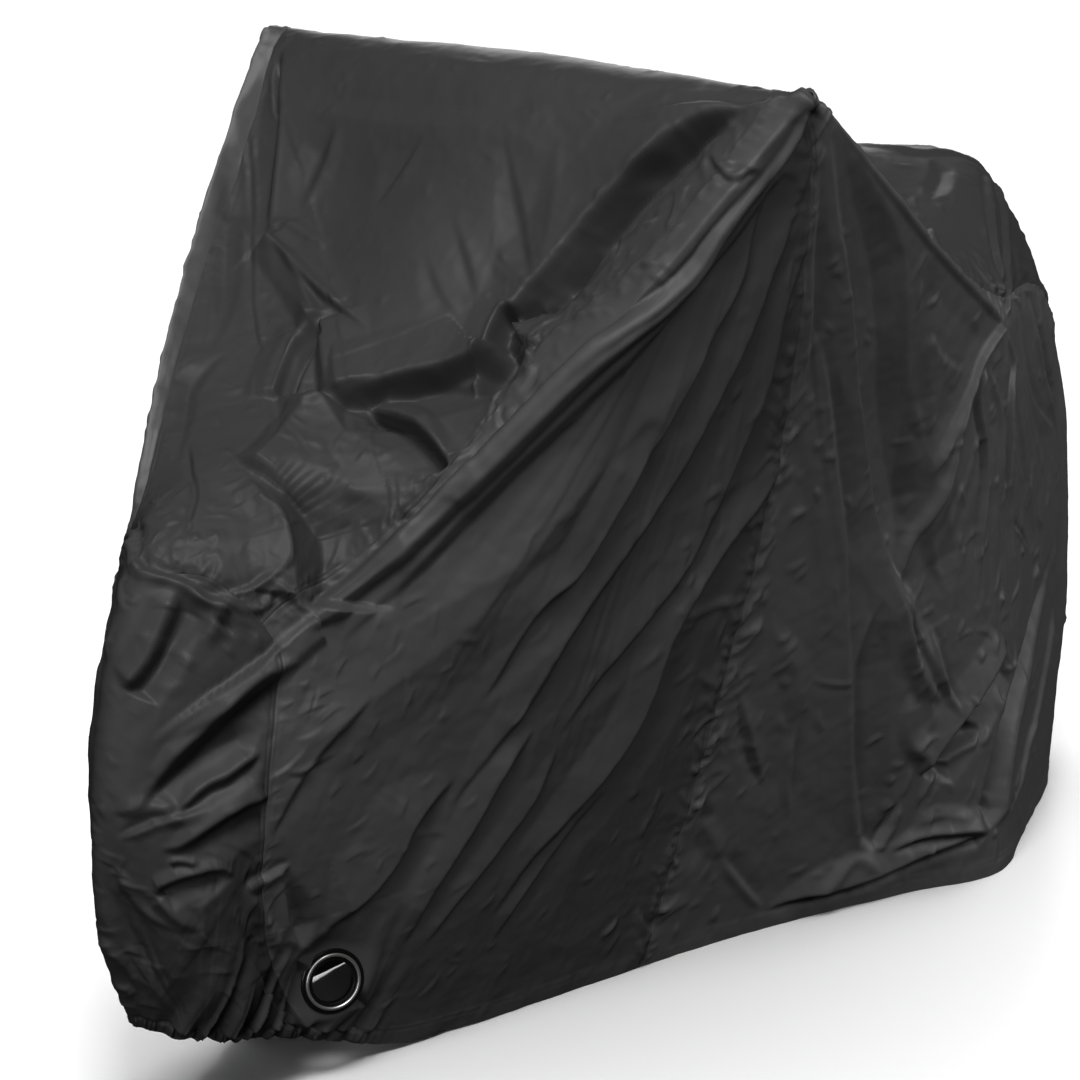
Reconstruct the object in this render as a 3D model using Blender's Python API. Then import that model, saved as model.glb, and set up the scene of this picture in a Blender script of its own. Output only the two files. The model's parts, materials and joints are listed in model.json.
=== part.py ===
"""Fitted outdoor cover, as it hangs: a hollow cloth shell, sewn from six panels,
with a round lock eyelet low on each side of the nose.

Frame: metres, +Z up, the nose towards -X, the near side towards -Y, the hem on
z = 0 and the origin under the middle of the shell.  Tables are in millimetres.
"""
import math

import bmesh
import bpy
import numpy as np

MM = 0.001
SHEET = 2.0             # cloth thickness
SEAM_GAP = 0.3          # panels stop this far apart at a seam
ORIGIN = (-2.15, 0.0, 1.62)     # under the middle of the shell, in the tables' own frame

# One row for each section from nose to tail.  A section runs from the near hem up over
# the top; its columns are the points where it crosses the lines along the cover:
# hem, low, high, then edge, inner, spine.
SECTIONS = (
    ("nose hem",   ( -755,   -82,    80), ( -790,   -64,    85), ( -815,   -47,    91),
                  ( -830,   -28,    96), ( -837,   -12,    99), ( -840,     0,   100)),
    ("nose low",   ( -708,   -88,    70), ( -770,   -98,   115), ( -818,   -86,   158),
                  ( -850,   -52,   190), ( -865,   -24,   204), ( -878,     0,   202)),
    ("nose mid",   ( -680,   -90,    61), ( -770,  -108,   180), ( -822,  -100,   285),
                  ( -860,   -60,   352), ( -880,   -28,   372), ( -887,     0,   380)),
    ("nose top",   ( -650,   -90,    50), ( -748,  -112,   215), ( -745,  -120,   380),
                  ( -712,  -104,   528), ( -762,   -52,   605), ( -806,    10,   612)),
    ("mask low",   ( -540,  -102,    14), ( -592,  -140,   215), ( -624,  -148,   420),
                  ( -632,  -130,   578), ( -650,   -62,   650), ( -672,     0,   676)),
    ("mask mid",   ( -430,  -116,     6), ( -480,  -166,   235), ( -512,  -182,   470),
                  ( -516,  -188,   675), ( -510,   -96,   712), ( -520,    10,   740)),
    ("mask high",  ( -300,  -134,     2), ( -330,  -196,   290), ( -350,  -250,   590),
                  ( -352,  -306,   872), ( -330,  -170,   885), ( -345,     0,   920)),
    ("shoulder",   ( -141,  -153,     2), (  -95,  -226,   330), (  -65,  -302,   690),
                  ( -173,  -408,  1086), ( -175,  -200,  1092), ( -172,     0,  1096)),
    ("lee",        (   55,  -185,     2), (   80,  -248,   300), (   80,  -300,   620),
                  (   30,  -362,   955), (   80,  -190,   930), (  130,     0,   945)),
    ("saddle",     (  269,  -245,     2), (  262,  -275,   270), (  235,  -290,   560),
                  (  220,  -315,   833), (  320,  -160,   850), (  420,     0,   905)),
    ("tip",        (  417,  -294,     2), (  432,  -282,   240), (  436,  -272,   480),
                  (  438,  -265,   710), (  560,  -140,   845), (  660,     0,   874)),
    ("hip",        (  560,  -232,     2), (  590,  -222,   240), (  610,  -205,   470),
                  (  625,  -185,   690), (  698,   -95,   795), (  750,     0,   828)),
    ("tail top",   (  700,  -170,     2), (  725,  -165,   220), (  750,  -150,   430),
                  (  770,  -122,   620), (  812,   -60,   680), (  838,     0,   696)),
    ("tail mid",   (  790,  -120,     2), (  812,  -118,   130), (  830,  -105,   250),
                  (  843,   -82,   350), (  868,   -38,   392), (  880,     0,   405)),
    ("tail hem",   (  832,   -84,     2), (  848,   -66,     2), (  862,   -48,     2),
                  (  873,   -30,     2), (  881,   -14,     2), (  884,     0,     2)),
)
# The far side mirrors the near one, except for these steps of its edge line.
FAR_STEPS = {
    # name        along x, outwards, up
    "nose hem":  (22, 0, 0),
    "nose low":  (26, -4, 0),
    "nose mid":  (24, -8, 0),
    "nose top":  (-20, 10, 40),
    "mask low":  (-64, -8, 80),
    "mask mid":  (-41, 32, 94),
    "mask high": (-34, 14, 28),
}
FAR_SHARE = (0.45, 1.0, 0.85, 0.4, 0.0)     # of a step: inner, edge, high, low, hem
NEAR_EDGE, FAR_EDGE = 3, 7                  # the edge lines
# How sharply each section turns at its two edge lines, 0 round to 1 sharp.
EDGE_TURN = (0, 0, 0, 0.3, 0.6, 0.7, 0.75, 0.9, 0.85, 0.85, 0.8, 0.5, 0.3, 0.2, 0)
POINT_TURN = 0.7                            # how sharply an edge line turns at its corners,
POINT_SECTIONS = (7, 10)                    # which are on these sections
CHORD_POWER = 0.8                           # how the curves space their points

# Lines along the cover count 0 near hem, 1 low, 2 high, 3 near edge, 4 inner, 5 spine,
# then 6 to 10 down the far side.  Sections count 0 to 14 in the table's order.
NOSE_SEAM, SIDE_SEAM = 3, 7                 # sections that are seams
NEAR_SEAM, FAR_SEAM = 3.3, 6.7              # lines that are seams
# The seams bow up over the edge: section of the bow, its half width in sections, its
# height and how far from the near seam it is felt, in lines.
BOW_AT, BOW_WIDTH, BOW_HEIGHT, BOW_REACH = 5.7, 0.40, 0.30, 0.95
SECTION_STEPS = (2, 3, 3, 5, 3, 4, 6, 5, 5, 5, 4, 3, 4, 5)
LINE_STEPS = (6, 6, 6, 0, 4, 4, 0, 5, 4, 6)  # 0: the three steps either side of a seam
EDGE_LINES = (0.0, 0.3, 0.62)

# One row for each main fold: from (section, line) to (section, line), half width and
# height.  It fades in and out over a share of its length at each end.
FOLDS = (
    # name                 kind      from          to            width height
    ("near roll",         "ridge",  (6.80, 2.95), (3.00, 2.97),  17,   15),
    ("near roll end",     "ridge",  (3.30, 2.95), (2.20, 3.70),  24,    9),
    ("under the roll",    "trough", (6.50, 2.75), (3.60, 2.72),  34,   12),
    ("groove high",       "trough", (6.75, 3.35), (6.05, 3.70),  30,   26),
    ("groove low",        "trough", (6.20, 3.60), (5.45, 3.95),  30,   34),
    ("bib lip",           "ridge",  (5.05, 5.20), (5.60, 4.05),  28,   20),
    ("bib pocket",        "trough", (5.10, 4.60), (5.05, 3.45),  26,   24),
    ("bib slope",         "ridge",  (5.05, 5.15), (4.30, 5.05),  26,   16),
    ("mask pocket",       "trough", (4.15, 4.55), (3.70, 3.45),  38,   26),
    ("mask point",        "ridge",  (4.30, 5.00), (3.45, 3.70),  20,   14),
    ("star ridge",        "ridge",  (5.90, 6.30), (5.40, 5.50),  26,   12),
    ("star shade",        "trough", (5.45, 5.70), (4.95, 5.80),  26,   16),
    ("far pleat",         "ridge",  (6.90, 6.78), (5.90, 6.28),  22,   11),
    ("far pleat shade",   "trough", (6.80, 6.95), (5.70, 6.70),  24,    7),
    ("fan one",           "trough", (6.75, 2.60), (5.60, 1.80),  26,   16),
    ("fan two",           "ridge",  (6.45, 2.60), (5.10, 1.95),  30,   10),
    ("fan three",         "trough", (6.90, 2.35), (6.10, 0.90),  30,   12),
    ("fan four",          "ridge",  (6.95, 2.50), (6.55, 1.00),  30,   10),
    ("seam side",         "trough", (7.05, 2.50), (7.00, 0.40),  26,    8),
    ("near fall",         "ridge",  (7.30, 2.85), (8.70, 1.40),  34,   16),
    ("scoop high",        "trough", (8.80, 2.80), (8.74, 1.60),  74,   44),
    ("scoop low",         "trough", (8.56, 2.20), (8.86, 1.20),  46,   16),
    ("tip fall",          "ridge",  (9.95, 2.95), (9.00, 1.50),  32,   18),
    ("knee",              "ridge",  (8.85, 1.40), (9.40, 0.80),  30,   16),
    ("hip wedge",         "trough", (10.50, 2.00), (10.60, 0.50), 36,  22),
    ("hip ridge",         "ridge",  (10.15, 2.80), (10.20, 0.60), 24,  10),
    ("rear hem swell",    "ridge",  (8.70, 0.10), (9.90, 0.70),  36,   12),
    ("nose shade",        "trough", (3.55, 2.60), (2.10, 3.50),  26,   14),
    ("nose crease",       "trough", (2.45, 4.40), (2.95, 4.25),  22,   12),
    ("nose fall",         "ridge",  (2.90, 1.90), (1.40, 2.20),  30,    9),
    ("far fan one",       "ridge",  (6.30, 7.80), (4.80, 8.50),  36,    9),
    ("far fan two",       "trough", (6.90, 7.50), (6.00, 9.00),  36,   14),
    ("far fall",          "ridge",  (7.30, 7.20), (8.70, 8.60),  36,   16),
    ("far scoop",         "trough", (8.50, 7.40), (8.80, 8.50),  60,   34),
    ("far tip fall",      "ridge",  (9.90, 7.10), (8.90, 8.70),  32,   16),
    ("far hip wedge",     "trough", (10.60, 8.00), (10.70, 9.50), 36,  16),
    ("saddle sag",        "trough", (7.60, 5.00), (8.90, 5.00),  90,   16),
    ("hump crease near",  "trough", (9.70, 4.10), (10.40, 4.40), 36,   10),
    ("tail crease",       "trough", (11.30, 5.00), (13.20, 5.30), 40,  10),
)

FOLD_POINTS = 13                            # points along a fold's middle line
FADE_IN, FADE_OUT = 0.18, 0.22

# Lock eyelets: side, section and line of the middle, and -1 on the near side; then
# their turned sections as (radius, height above the cloth's outer face).
EYELETS = (("near", 3.52, 0.50, -1), ("far", 3.52, 9.50, 1))
FACING = (-0.42, 0.905, 0.06)               # the way a far eyelet faces; the near one mirrors it
STRIP_END, STRIP_TOP = 4, 1                 # the strip runs from the nose seam to here
HOLE_RADIUS = 29.4
HOLE_EVEN = 0.8                             # how evenly the hole's corners are spaced
FLAT_RADIUS, BLEND_RADIUS = 42.0, 75.0      # the cloth is flat round the eyelet
GROMMET = (
    (24.6, 1.0), (25.2, 2.4), (27.0, 3.0), (27.2, 2.2), (32.6, 2.2), (33.0, 3.0),
    (36.0, 2.6), (38.0, 1.3), (37.6, 0.3), (27.7, 0.3), (27.7, -2.3), (34.6, -2.3),
    (35.0, -3.2), (34.0, -4.3), (25.4, -4.6), (24.6, -3.5),
)
RING = (
    (27.6, 2.6), (32.2, 2.6), (32.3, 3.3), (31.4, 4.3), (29.95, 4.8), (28.5, 4.3), (27.5, 3.3),
)
TURN_STEPS = 28
CLOTH_SHARP, TURNED_SHARP = 50, 35          # sharper edges than this, in degrees, stay sharp
CORNER_CUT = 0.05                           # rim directions closer than this count as one

# Colours are linear values.
CLOTH = ((0.030, 0.030, 0.031), 0.46, 0.0)
PLASTIC = ((0.008, 0.008, 0.008), 0.35, 0.0)
METAL = ((0.78, 0.78, 0.77), 0.22, 1.0)


def curve(points, at, tension=None):
    """A smooth curve through rows of points, read at fractional row numbers."""
    points = np.asarray(points, float)
    at = np.asarray(at, float)
    tail = (1,) * (points.ndim - 1)
    chord = np.linalg.norm(np.diff(points, axis=0), axis=-1)
    while chord.ndim > 1:
        chord = chord.mean(-1)
    step = np.maximum(chord, 1e-4) ** CHORD_POWER
    slope = np.diff(points, axis=0) / step.reshape((-1,) + tail)
    a, b = step[:-1].reshape((-1,) + tail), step[1:].reshape((-1,) + tail)
    lean = np.zeros_like(points)
    lean[1:-1] = (slope[:-1] * b + slope[1:] * a) / (a + b)
    if tension is not None:
        lean *= 1 - tension
    lean[0] = 1.5 * slope[0] - 0.5 * lean[1]
    lean[-1] = 1.5 * slope[-1] - 0.5 * lean[-2]
    row = np.clip(np.floor(at).astype(int), 0, len(points) - 2)
    f = (at - row).reshape((-1,) + tail)
    h = step[row].reshape((-1,) + tail)
    return ((2 * f ** 3 - 3 * f ** 2 + 1) * points[row]
            + (f ** 3 - 2 * f ** 2 + f) * h * lean[row]
            + (3 * f ** 2 - 2 * f ** 3) * points[row + 1]
            + (f ** 3 - f ** 2) * h * lean[row + 1])


def section_points():
    """The sections' eleven points each, near hem to far hem, in millimetres."""
    rows = []
    for name, *near in SECTIONS:
        near = np.array(near, float)
        far = near[4::-1] * (1, -1, 1)
        step = np.array(FAR_STEPS.get(name, (0, 0, 0)), float)
        rows.append(np.vstack((near, far + np.outer(FAR_SHARE, step))))
    return np.array(rows)


def shell(sections, lines):
    """The shell without its folds, as a grid of points."""
    points = section_points()
    point_tension = np.zeros(points.shape[:2] + (1,))
    for row in POINT_SECTIONS:
        point_tension[row, [NEAR_EDGE, FAR_EDGE]] = POINT_TURN
    along = curve(points, sections, point_tension)
    edge_tension = np.zeros((points.shape[1], len(along), 1))
    turn = np.interp(sections, np.arange(len(SECTIONS)), EDGE_TURN)
    edge_tension[[NEAR_EDGE, FAR_EDGE], :, 0] = turn
    across = curve(np.swapaxes(along, 0, 1), lines, edge_tension)
    return np.swapaxes(across, 0, 1)


def shell_at(section, line):
    """Single points of the shell, for paired section and line numbers."""
    return np.array([shell([s], [t])[0, 0] for s, t in zip(section, line)])


def outward(grid):
    """Unit normals of a grid of points, outwards."""
    n = np.cross(np.gradient(grid, axis=0), np.gradient(grid, axis=1))
    return n / np.linalg.norm(n, axis=-1, keepdims=True)


def fade(t):
    """A smooth step from 0 to 1."""
    t = np.clip(t, 0, 1)
    return t * t * (3 - 2 * t)


def fold_heights(points):
    """How far each point moves along its normal for the folds in the table."""
    height = np.zeros(points.shape[:2])
    for _, kind, start, end, width, depth in FOLDS:
        part = np.linspace(0, 1, FOLD_POINTS)
        line = shell_at(start[0] + (end[0] - start[0]) * part,
                        start[1] + (end[1] - start[1]) * part)
        seg = np.diff(line, axis=0)
        length = np.linalg.norm(seg, axis=1)
        run = np.concatenate(([0], np.cumsum(length)))
        best = np.full(points.shape[:2], 1e9)
        along = np.zeros(points.shape[:2])
        for k in range(FOLD_POINTS - 1):
            rel = points - line[k]
            t = np.clip(rel @ seg[k] / length[k] ** 2, 0, 1)
            away = np.linalg.norm(rel - t[..., None] * seg[k], axis=-1)
            near = away < best
            best = np.where(near, away, best)
            along = np.where(near, (run[k] + t * length[k]) / run[-1], along)
        ends = fade(along / FADE_IN) * fade((1 - along) / FADE_OUT)
        shape = np.exp(-(best / width) ** 2) * ends
        height += (depth if kind == "ridge" else -depth) * shape
    return height


def grid_lines():
    """The section and line numbers of the shell's grid of corners."""
    sections = [0.0]
    for k, n in enumerate(SECTION_STEPS):
        sections += [k + (i + 1) / n for i in range(n)]
    lines = []
    for k, n in enumerate(LINE_STEPS):
        if n:
            lines += [k + i / n for i in range(n)]
        elif k == NEAR_EDGE:
            lines += [k + e for e in EDGE_LINES]
        else:
            lines += [k, k + 1 - EDGE_LINES[2], k + 1 - EDGE_LINES[1]]
    return np.array(sections), np.array(lines + [10.0])


def bowed(sections, lines):
    """Line numbers for the grid, with the bow of the two long seams."""
    bow = BOW_HEIGHT * np.exp(-((sections - BOW_AT) / BOW_WIDTH) ** 2)
    near = np.clip(1 - np.abs(lines - NEAR_SEAM) / BOW_REACH, 0, 1)
    return lines[None, :] + bow[:, None] * near[None, :]


def surface(sections, lines):
    """The shell's outer face with its folds, and the normals that its thickness follows."""
    marks = bowed(sections, lines)
    points = np.array([shell([s], row)[0] for s, row in zip(sections, marks)])
    points = points + outward(points) * fold_heights(points)[..., None]
    normals = outward(points)
    frames = {}
    for name, section, line, hand in EYELETS:
        mid = shell_at([section], [line])[0]
        n = np.array(FACING) * (1, hand, 1)
        n /= np.linalg.norm(n)
        side = np.cross((0, 0, 1), n)
        side /= np.linalg.norm(side)
        frames[name] = (mid, side, np.cross(n, side), n)
        rel = points - mid
        away = np.linalg.norm(rel, axis=-1)
        share = 1 - fade((away - FLAT_RADIUS) / (BLEND_RADIUS - FLAT_RADIUS))
        share = np.where(away < BLEND_RADIUS, share, 0)
        points = points - share[..., None] * (rel @ n)[..., None] * n
        normals = normals * (1 - share[..., None]) + n * share[..., None]
        normals /= np.linalg.norm(normals, axis=-1, keepdims=True)
    points[..., 2] = np.maximum(points[..., 2], 0.0)
    return points, normals, frames


def material(name, look):
    """A material from its colour, roughness and metallic value."""
    colour, rough, metal = look
    m = bpy.data.materials.new(name)
    m.use_nodes = True
    b = m.node_tree.nodes["Principled BSDF"]
    b.inputs["Base Color"].default_value = (*colour, 1)
    b.inputs["Roughness"].default_value = rough
    b.inputs["Metallic"].default_value = metal
    m.diffuse_color = (*colour, 1)
    return m


def add_object(name, points, faces, look, sharp=CLOTH_SHARP):
    mesh = bpy.data.meshes.new(name)
    shifted = (np.asarray(points) - ORIGIN) * MM
    mesh.from_pydata([tuple(p) for p in shifted], [], faces)
    mesh.validate()
    mesh.shade_smooth()
    mesh.set_sharp_from_angle(angle=math.radians(sharp))
    mesh.materials.append(material(name, look))
    thing = bpy.data.objects.new(name, mesh)
    bpy.context.collection.objects.link(thing)
    return thing


def drawn_in(points, normals, edges, seam):
    """Move the corners of a panel's rim in from its seams by half the gap.

    edges holds (a, b, inside) with the panel on the side of the point inside."""
    rules = {}
    for a, b, inside in edges:
        for k in (a, b):
            along = points[b] - points[a]
            n = normals[k]
            across = np.cross(n, along)
            across /= np.linalg.norm(across)
            if (inside - points[a]) @ across < 0:
                across = -across
            gap = SEAM_GAP / 2 if seam(a, b) else 0.0
            rules.setdefault(k, []).append((across, gap))
    moved = points.copy()
    for k, rows in rules.items():
        a = np.array([r[0] for r in rows])
        gaps = np.array([r[1] for r in rows])
        moved[k] = points[k] + np.linalg.lstsq(a, gaps, rcond=CORNER_CUT)[0]
    return moved


def sheet_solid(name, points, normals, tris, seam, look=CLOTH):
    """A closed sheet from its outer face's triangles."""
    rim = {}
    for t in tris:
        for i in range(3):
            a, b = t[i], t[(i + 1) % 3]
            if (b, a) in rim:
                del rim[(b, a)]
            else:
                rim[(a, b)] = points[t[(i + 2) % 3]]
    edges = [(a, b, inside) for (a, b), inside in rim.items()]
    outer = drawn_in(points, normals, edges, seam)
    used = sorted({k for t in tris for k in t})
    number = {k: i for i, k in enumerate(used)}
    n = len(used)
    corners = np.vstack((outer[used], outer[used] - normals[used] * SHEET))
    corners[:, 2] = np.maximum(corners[:, 2], 0.0)
    faces = [tuple(number[k] for k in t) for t in tris]
    faces += [tuple(n + number[k] for k in reversed(t)) for t in tris]
    for a, b, _ in edges:
        p, q = number[a], number[b]
        faces.append((q, p, n + p))
        faces.append((q, n + p, n + q))
    return add_object(name, corners, faces, look)


def turned(name, frame, profile, look):
    """A ring turned about the eyelet's axis."""
    mid, side, up, n = frame
    points, faces = [], []
    count = len(profile)
    for i in range(TURN_STEPS):
        a = 2 * math.pi * i / TURN_STEPS
        out = side * math.cos(a) + up * math.sin(a)
        points += [mid + out * r + n * h for r, h in profile]
    for i in range(TURN_STEPS):
        j = (i + 1) % TURN_STEPS
        for k in range(count):
            m = (k + 1) % count
            faces.append((i * count + k, j * count + k, j * count + m, i * count + m))
    thing = add_object(name, points, faces, look, TURNED_SHARP)
    bm = bmesh.new()
    bm.from_mesh(thing.data)
    bmesh.ops.recalc_face_normals(bm, faces=bm.faces)
    bm.to_mesh(thing.data)
    bm.free()
    return thing


def build():
    """Every panel, strip, grommet and ring of the cover."""
    for old in list(bpy.data.objects):
        bpy.data.objects.remove(old)
    sections, lines = grid_lines()
    points, normals, frames = surface(sections, lines)
    rows, columns = len(sections), len(lines)
    flat_points = points.reshape(-1, 3)
    flat_normals = normals.reshape(-1, 3)

    def at(i, j):
        return i * columns + j

    def near_to(values, value):
        return int(np.argmin(np.abs(values - value)))

    nose, side = near_to(sections, NOSE_SEAM), near_to(sections, SIDE_SEAM)
    near, far = near_to(lines, NEAR_SEAM), near_to(lines, FAR_SEAM)
    strip_end = near_to(sections, STRIP_END)
    strip_low, strip_high = near_to(lines, STRIP_TOP), near_to(lines, 10 - STRIP_TOP)

    def cell(i, j):
        a, b, c, d = at(i, j), at(i, j + 1), at(i + 1, j + 1), at(i + 1, j)
        p = flat_points
        if np.linalg.norm(p[a] - p[c]) <= np.linalg.norm(p[b] - p[d]):
            return [(a, c, b), (a, d, c)]
        return [(a, d, b), (b, d, c)]

    def block(i0, i1, j0, j1, skip=None):
        tris = []
        for i in range(i0, i1):
            for j in range(j0, j1):
                if skip is None or not skip(i, j):
                    tris += cell(i, j)
        return tris

    def seam(a, b):
        """Hems lie on the first and last lines and sections; any other rim is a seam."""
        (ia, ja), (ib, jb) = divmod(a, columns), divmod(b, columns)
        hem = (ja == jb and ja in (0, columns - 1)) or (ia == ib and ia in (0, rows - 1))
        return not hem

    end = rows - 1
    panels = (
        ("nose_panel", block(0, nose, 0, columns - 1)),
        ("top_panel", block(nose, end, near, far)),
        ("near_front_side", block(nose, side, 0, near,
                                  lambda i, j: i < strip_end and j < strip_low)),
        ("near_rear_side", block(side, end, 0, near)),
        ("far_front_side", block(nose, side, far, columns - 1,
                                 lambda i, j: i < strip_end and j >= strip_high)),
        ("far_rear_side", block(side, end, far, columns - 1)),
    )
    for name, tris in panels:
        sheet_solid(name, flat_points, flat_normals, tris, seam)

    # Each strip joins the loop of its block's rim to the round hole.
    for name, low, high in (("near", 0, strip_low), ("far", strip_high, columns - 1)):
        loop = ([at(nose, j) for j in range(low, high)]
                + [at(i, high) for i in range(nose, strip_end)]
                + [at(strip_end, j) for j in range(high, low, -1)]
                + [at(i, low) for i in range(strip_end, nose, -1)])
        mid, across, up, n = frames[name]
        rim = flat_points[loop]
        rel = rim - mid
        angle = np.unwrap(np.arctan2(rel @ up, rel @ across))
        even = np.linspace(angle[0], angle[0] + math.copysign(2 * math.pi, angle[-1] - angle[0]),
                           len(loop), endpoint=False)
        even += np.mean(angle - even)
        angle += HOLE_EVEN * (even - angle)
        ring = np.outer(np.cos(angle), across) + np.outer(np.sin(angle), up)
        hole = mid + HOLE_RADIUS * ring
        flat = mid + FLAT_RADIUS * ring
        layers = [hole, flat, 0.5 * (flat + rim), rim]
        tilt = [np.tile(n, (len(loop), 1)), np.tile(n, (len(loop), 1)),
                0.5 * (n + flat_normals[loop]), flat_normals[loop]]
        pts = np.vstack(layers)
        nrm = np.vstack(tilt)
        nrm /= np.linalg.norm(nrm, axis=1, keepdims=True)
        count = len(loop)
        tris = []
        for k in range(3):
            for i in range(count):
                j = (i + 1) % count
                a, b = k * count + i, k * count + j
                c, d = (k + 1) * count + j, (k + 1) * count + i
                tris += [(a, b, c), (a, c, d)]
        t = tris[0]
        if np.cross(pts[t[1]] - pts[t[0]], pts[t[2]] - pts[t[0]]) @ n < 0:
            tris = [tuple(reversed(t)) for t in tris]
        base = 3 * count

        def strip_seam(a, b, base=base, loop=loop):
            return a >= base and b >= base and seam(loop[a - base], loop[b - base])

        sheet_solid(f"{name}_lock_strip", pts, nrm, tris, strip_seam)
        turned(f"{name}_lock_grommet", frames[name], GROMMET, PLASTIC)
        turned(f"{name}_lock_ring", frames[name], RING, METAL)


build()
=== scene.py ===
"""Looks of the fitted outdoor cover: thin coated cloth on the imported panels' folds, with
its creases, seams, stitches, gathered hem and lock eyelets.

Frame: metres, +Z up, the nose towards -X, the near side towards -Y.  The tables of the
cloth are in millimetres and in section and line numbers, as the solids' own source is.
"""
import json
import math

import bmesh
import bpy
import numpy as np
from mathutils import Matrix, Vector, noise
from mathutils.kdtree import KDTree

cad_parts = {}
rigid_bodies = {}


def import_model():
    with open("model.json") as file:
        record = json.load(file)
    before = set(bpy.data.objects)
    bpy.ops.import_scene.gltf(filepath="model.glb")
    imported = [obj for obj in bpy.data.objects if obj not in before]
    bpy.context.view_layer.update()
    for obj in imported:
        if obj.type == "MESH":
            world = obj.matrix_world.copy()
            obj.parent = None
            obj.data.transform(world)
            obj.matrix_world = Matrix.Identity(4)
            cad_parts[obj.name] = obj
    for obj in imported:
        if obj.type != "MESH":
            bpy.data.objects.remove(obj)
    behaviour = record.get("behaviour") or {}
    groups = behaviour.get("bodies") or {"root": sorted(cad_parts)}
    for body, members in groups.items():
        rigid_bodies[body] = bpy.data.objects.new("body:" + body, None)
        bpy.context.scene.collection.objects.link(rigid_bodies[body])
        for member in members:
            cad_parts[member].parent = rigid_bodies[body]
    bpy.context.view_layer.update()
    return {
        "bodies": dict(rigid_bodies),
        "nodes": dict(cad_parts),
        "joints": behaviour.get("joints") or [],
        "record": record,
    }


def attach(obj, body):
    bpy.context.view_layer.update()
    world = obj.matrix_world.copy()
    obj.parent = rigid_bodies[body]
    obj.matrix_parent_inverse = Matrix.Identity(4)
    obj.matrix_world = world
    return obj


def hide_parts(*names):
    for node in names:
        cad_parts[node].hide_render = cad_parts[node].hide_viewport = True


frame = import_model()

MM = 0.001
ORIGIN = np.array((-2.15, 0.0, 1.62))  # under the middle of the cover, in the tables' frame

# ---------------------------------------------------------------- the draped shape
# One row for each section from nose to tail.  A section runs from the near hem up over
# the top; its row holds the points (x y z, in mm) where it crosses the lines along the
# cover: hem, low, high, edge, inner and spine.
SECTIONS = """
nose hem | -755 -82 80, -790 -64 85, -815 -47 91, -830 -28 96, -837 -12 99, -840 0 100
nose low | -708 -88 70, -770 -98 115, -818 -86 158, -850 -52 190, -865 -24 204, -878 0 202
nose mid | -680 -90 61, -770 -108 180, -822 -100 285, -860 -60 352, -880 -28 372, -887 0 380
nose top | -650 -90 50, -748 -112 215, -745 -120 380, -712 -104 528, -762 -52 605, -806 10 612
mask low | -540 -102 14, -592 -140 215, -624 -148 420, -632 -130 578, -650 -62 650, -672 0 676
mask mid | -430 -116 6, -480 -166 235, -512 -182 470, -516 -188 675, -510 -96 712, -520 10 740
mask high | -300 -134 2, -330 -196 290, -350 -250 590, -352 -306 872, -330 -170 885, -345 0 920
shoulder | -141 -153 2, -95 -226 330, -65 -302 690, -173 -408 1086, -175 -200 1092, -172 0 1096
lee | 55 -185 2, 80 -248 300, 80 -300 620, 30 -362 955, 80 -190 930, 130 0 945
dip | 269 -245 2, 262 -275 270, 235 -290 560, 220 -315 833, 320 -160 850, 420 0 905
tip | 417 -294 2, 432 -282 240, 436 -272 480, 438 -265 710, 560 -140 845, 660 0 874
hip | 560 -232 2, 590 -222 240, 610 -205 470, 625 -185 690, 698 -95 795, 750 0 828
tail top | 700 -170 2, 725 -165 220, 750 -150 430, 770 -122 620, 812 -60 680, 838 0 696
tail mid | 790 -120 2, 812 -118 130, 830 -105 250, 843 -82 350, 868 -38 392, 880 0 405
tail hem | 832 -84 2, 848 -66 2, 862 -48 2, 873 -30 2, 881 -14 2, 884 0 2
"""
# The far side mirrors the near one, except for these steps of its edge line.
FAR_STEPS = {
    # name        along x, outwards, up
    "nose hem":  (22, 0, 0),
    "nose low":  (26, -4, 0),
    "nose mid":  (24, -8, 0),
    "nose top":  (-20, 10, 40),
    "mask low":  (-64, -8, 80),
    "mask mid":  (-41, 32, 94),
    "mask high": (-34, 14, 28),
}
FAR_SHARE = (0.45, 1.0, 0.85, 0.4, 0.0)  # of a step: inner, edge, high, low, hem
NEAR_EDGE, FAR_EDGE = 3, 7  # the edge lines
# How sharply each section turns at its two edge lines, 0 round to 1 sharp.
EDGE_TURN = (0, 0, 0, 0.3, 0.6, 0.7, 0.75, 0.9, 0.85, 0.85, 0.8, 0.5, 0.3, 0.2, 0)
POINT_TURN = 0.7  # how sharply an edge line turns at its corners,
POINT_SECTIONS = (7, 10)  # which are on these sections
CHORD_POWER = 0.8  # how the curves space their points

NEAR_SEAM = 3.3  # the line that the near long seam keeps to
LAST_SECTION, LAST_LINE = 14, 10
# The long seams bow up over the edge: section of the bow, its half width in sections,
# its height and how far from the near seam it is felt, in lines.
BOW_AT, BOW_WIDTH, BOW_HEIGHT, BOW_REACH = 5.7, 0.40, 0.30, 0.95

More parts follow.
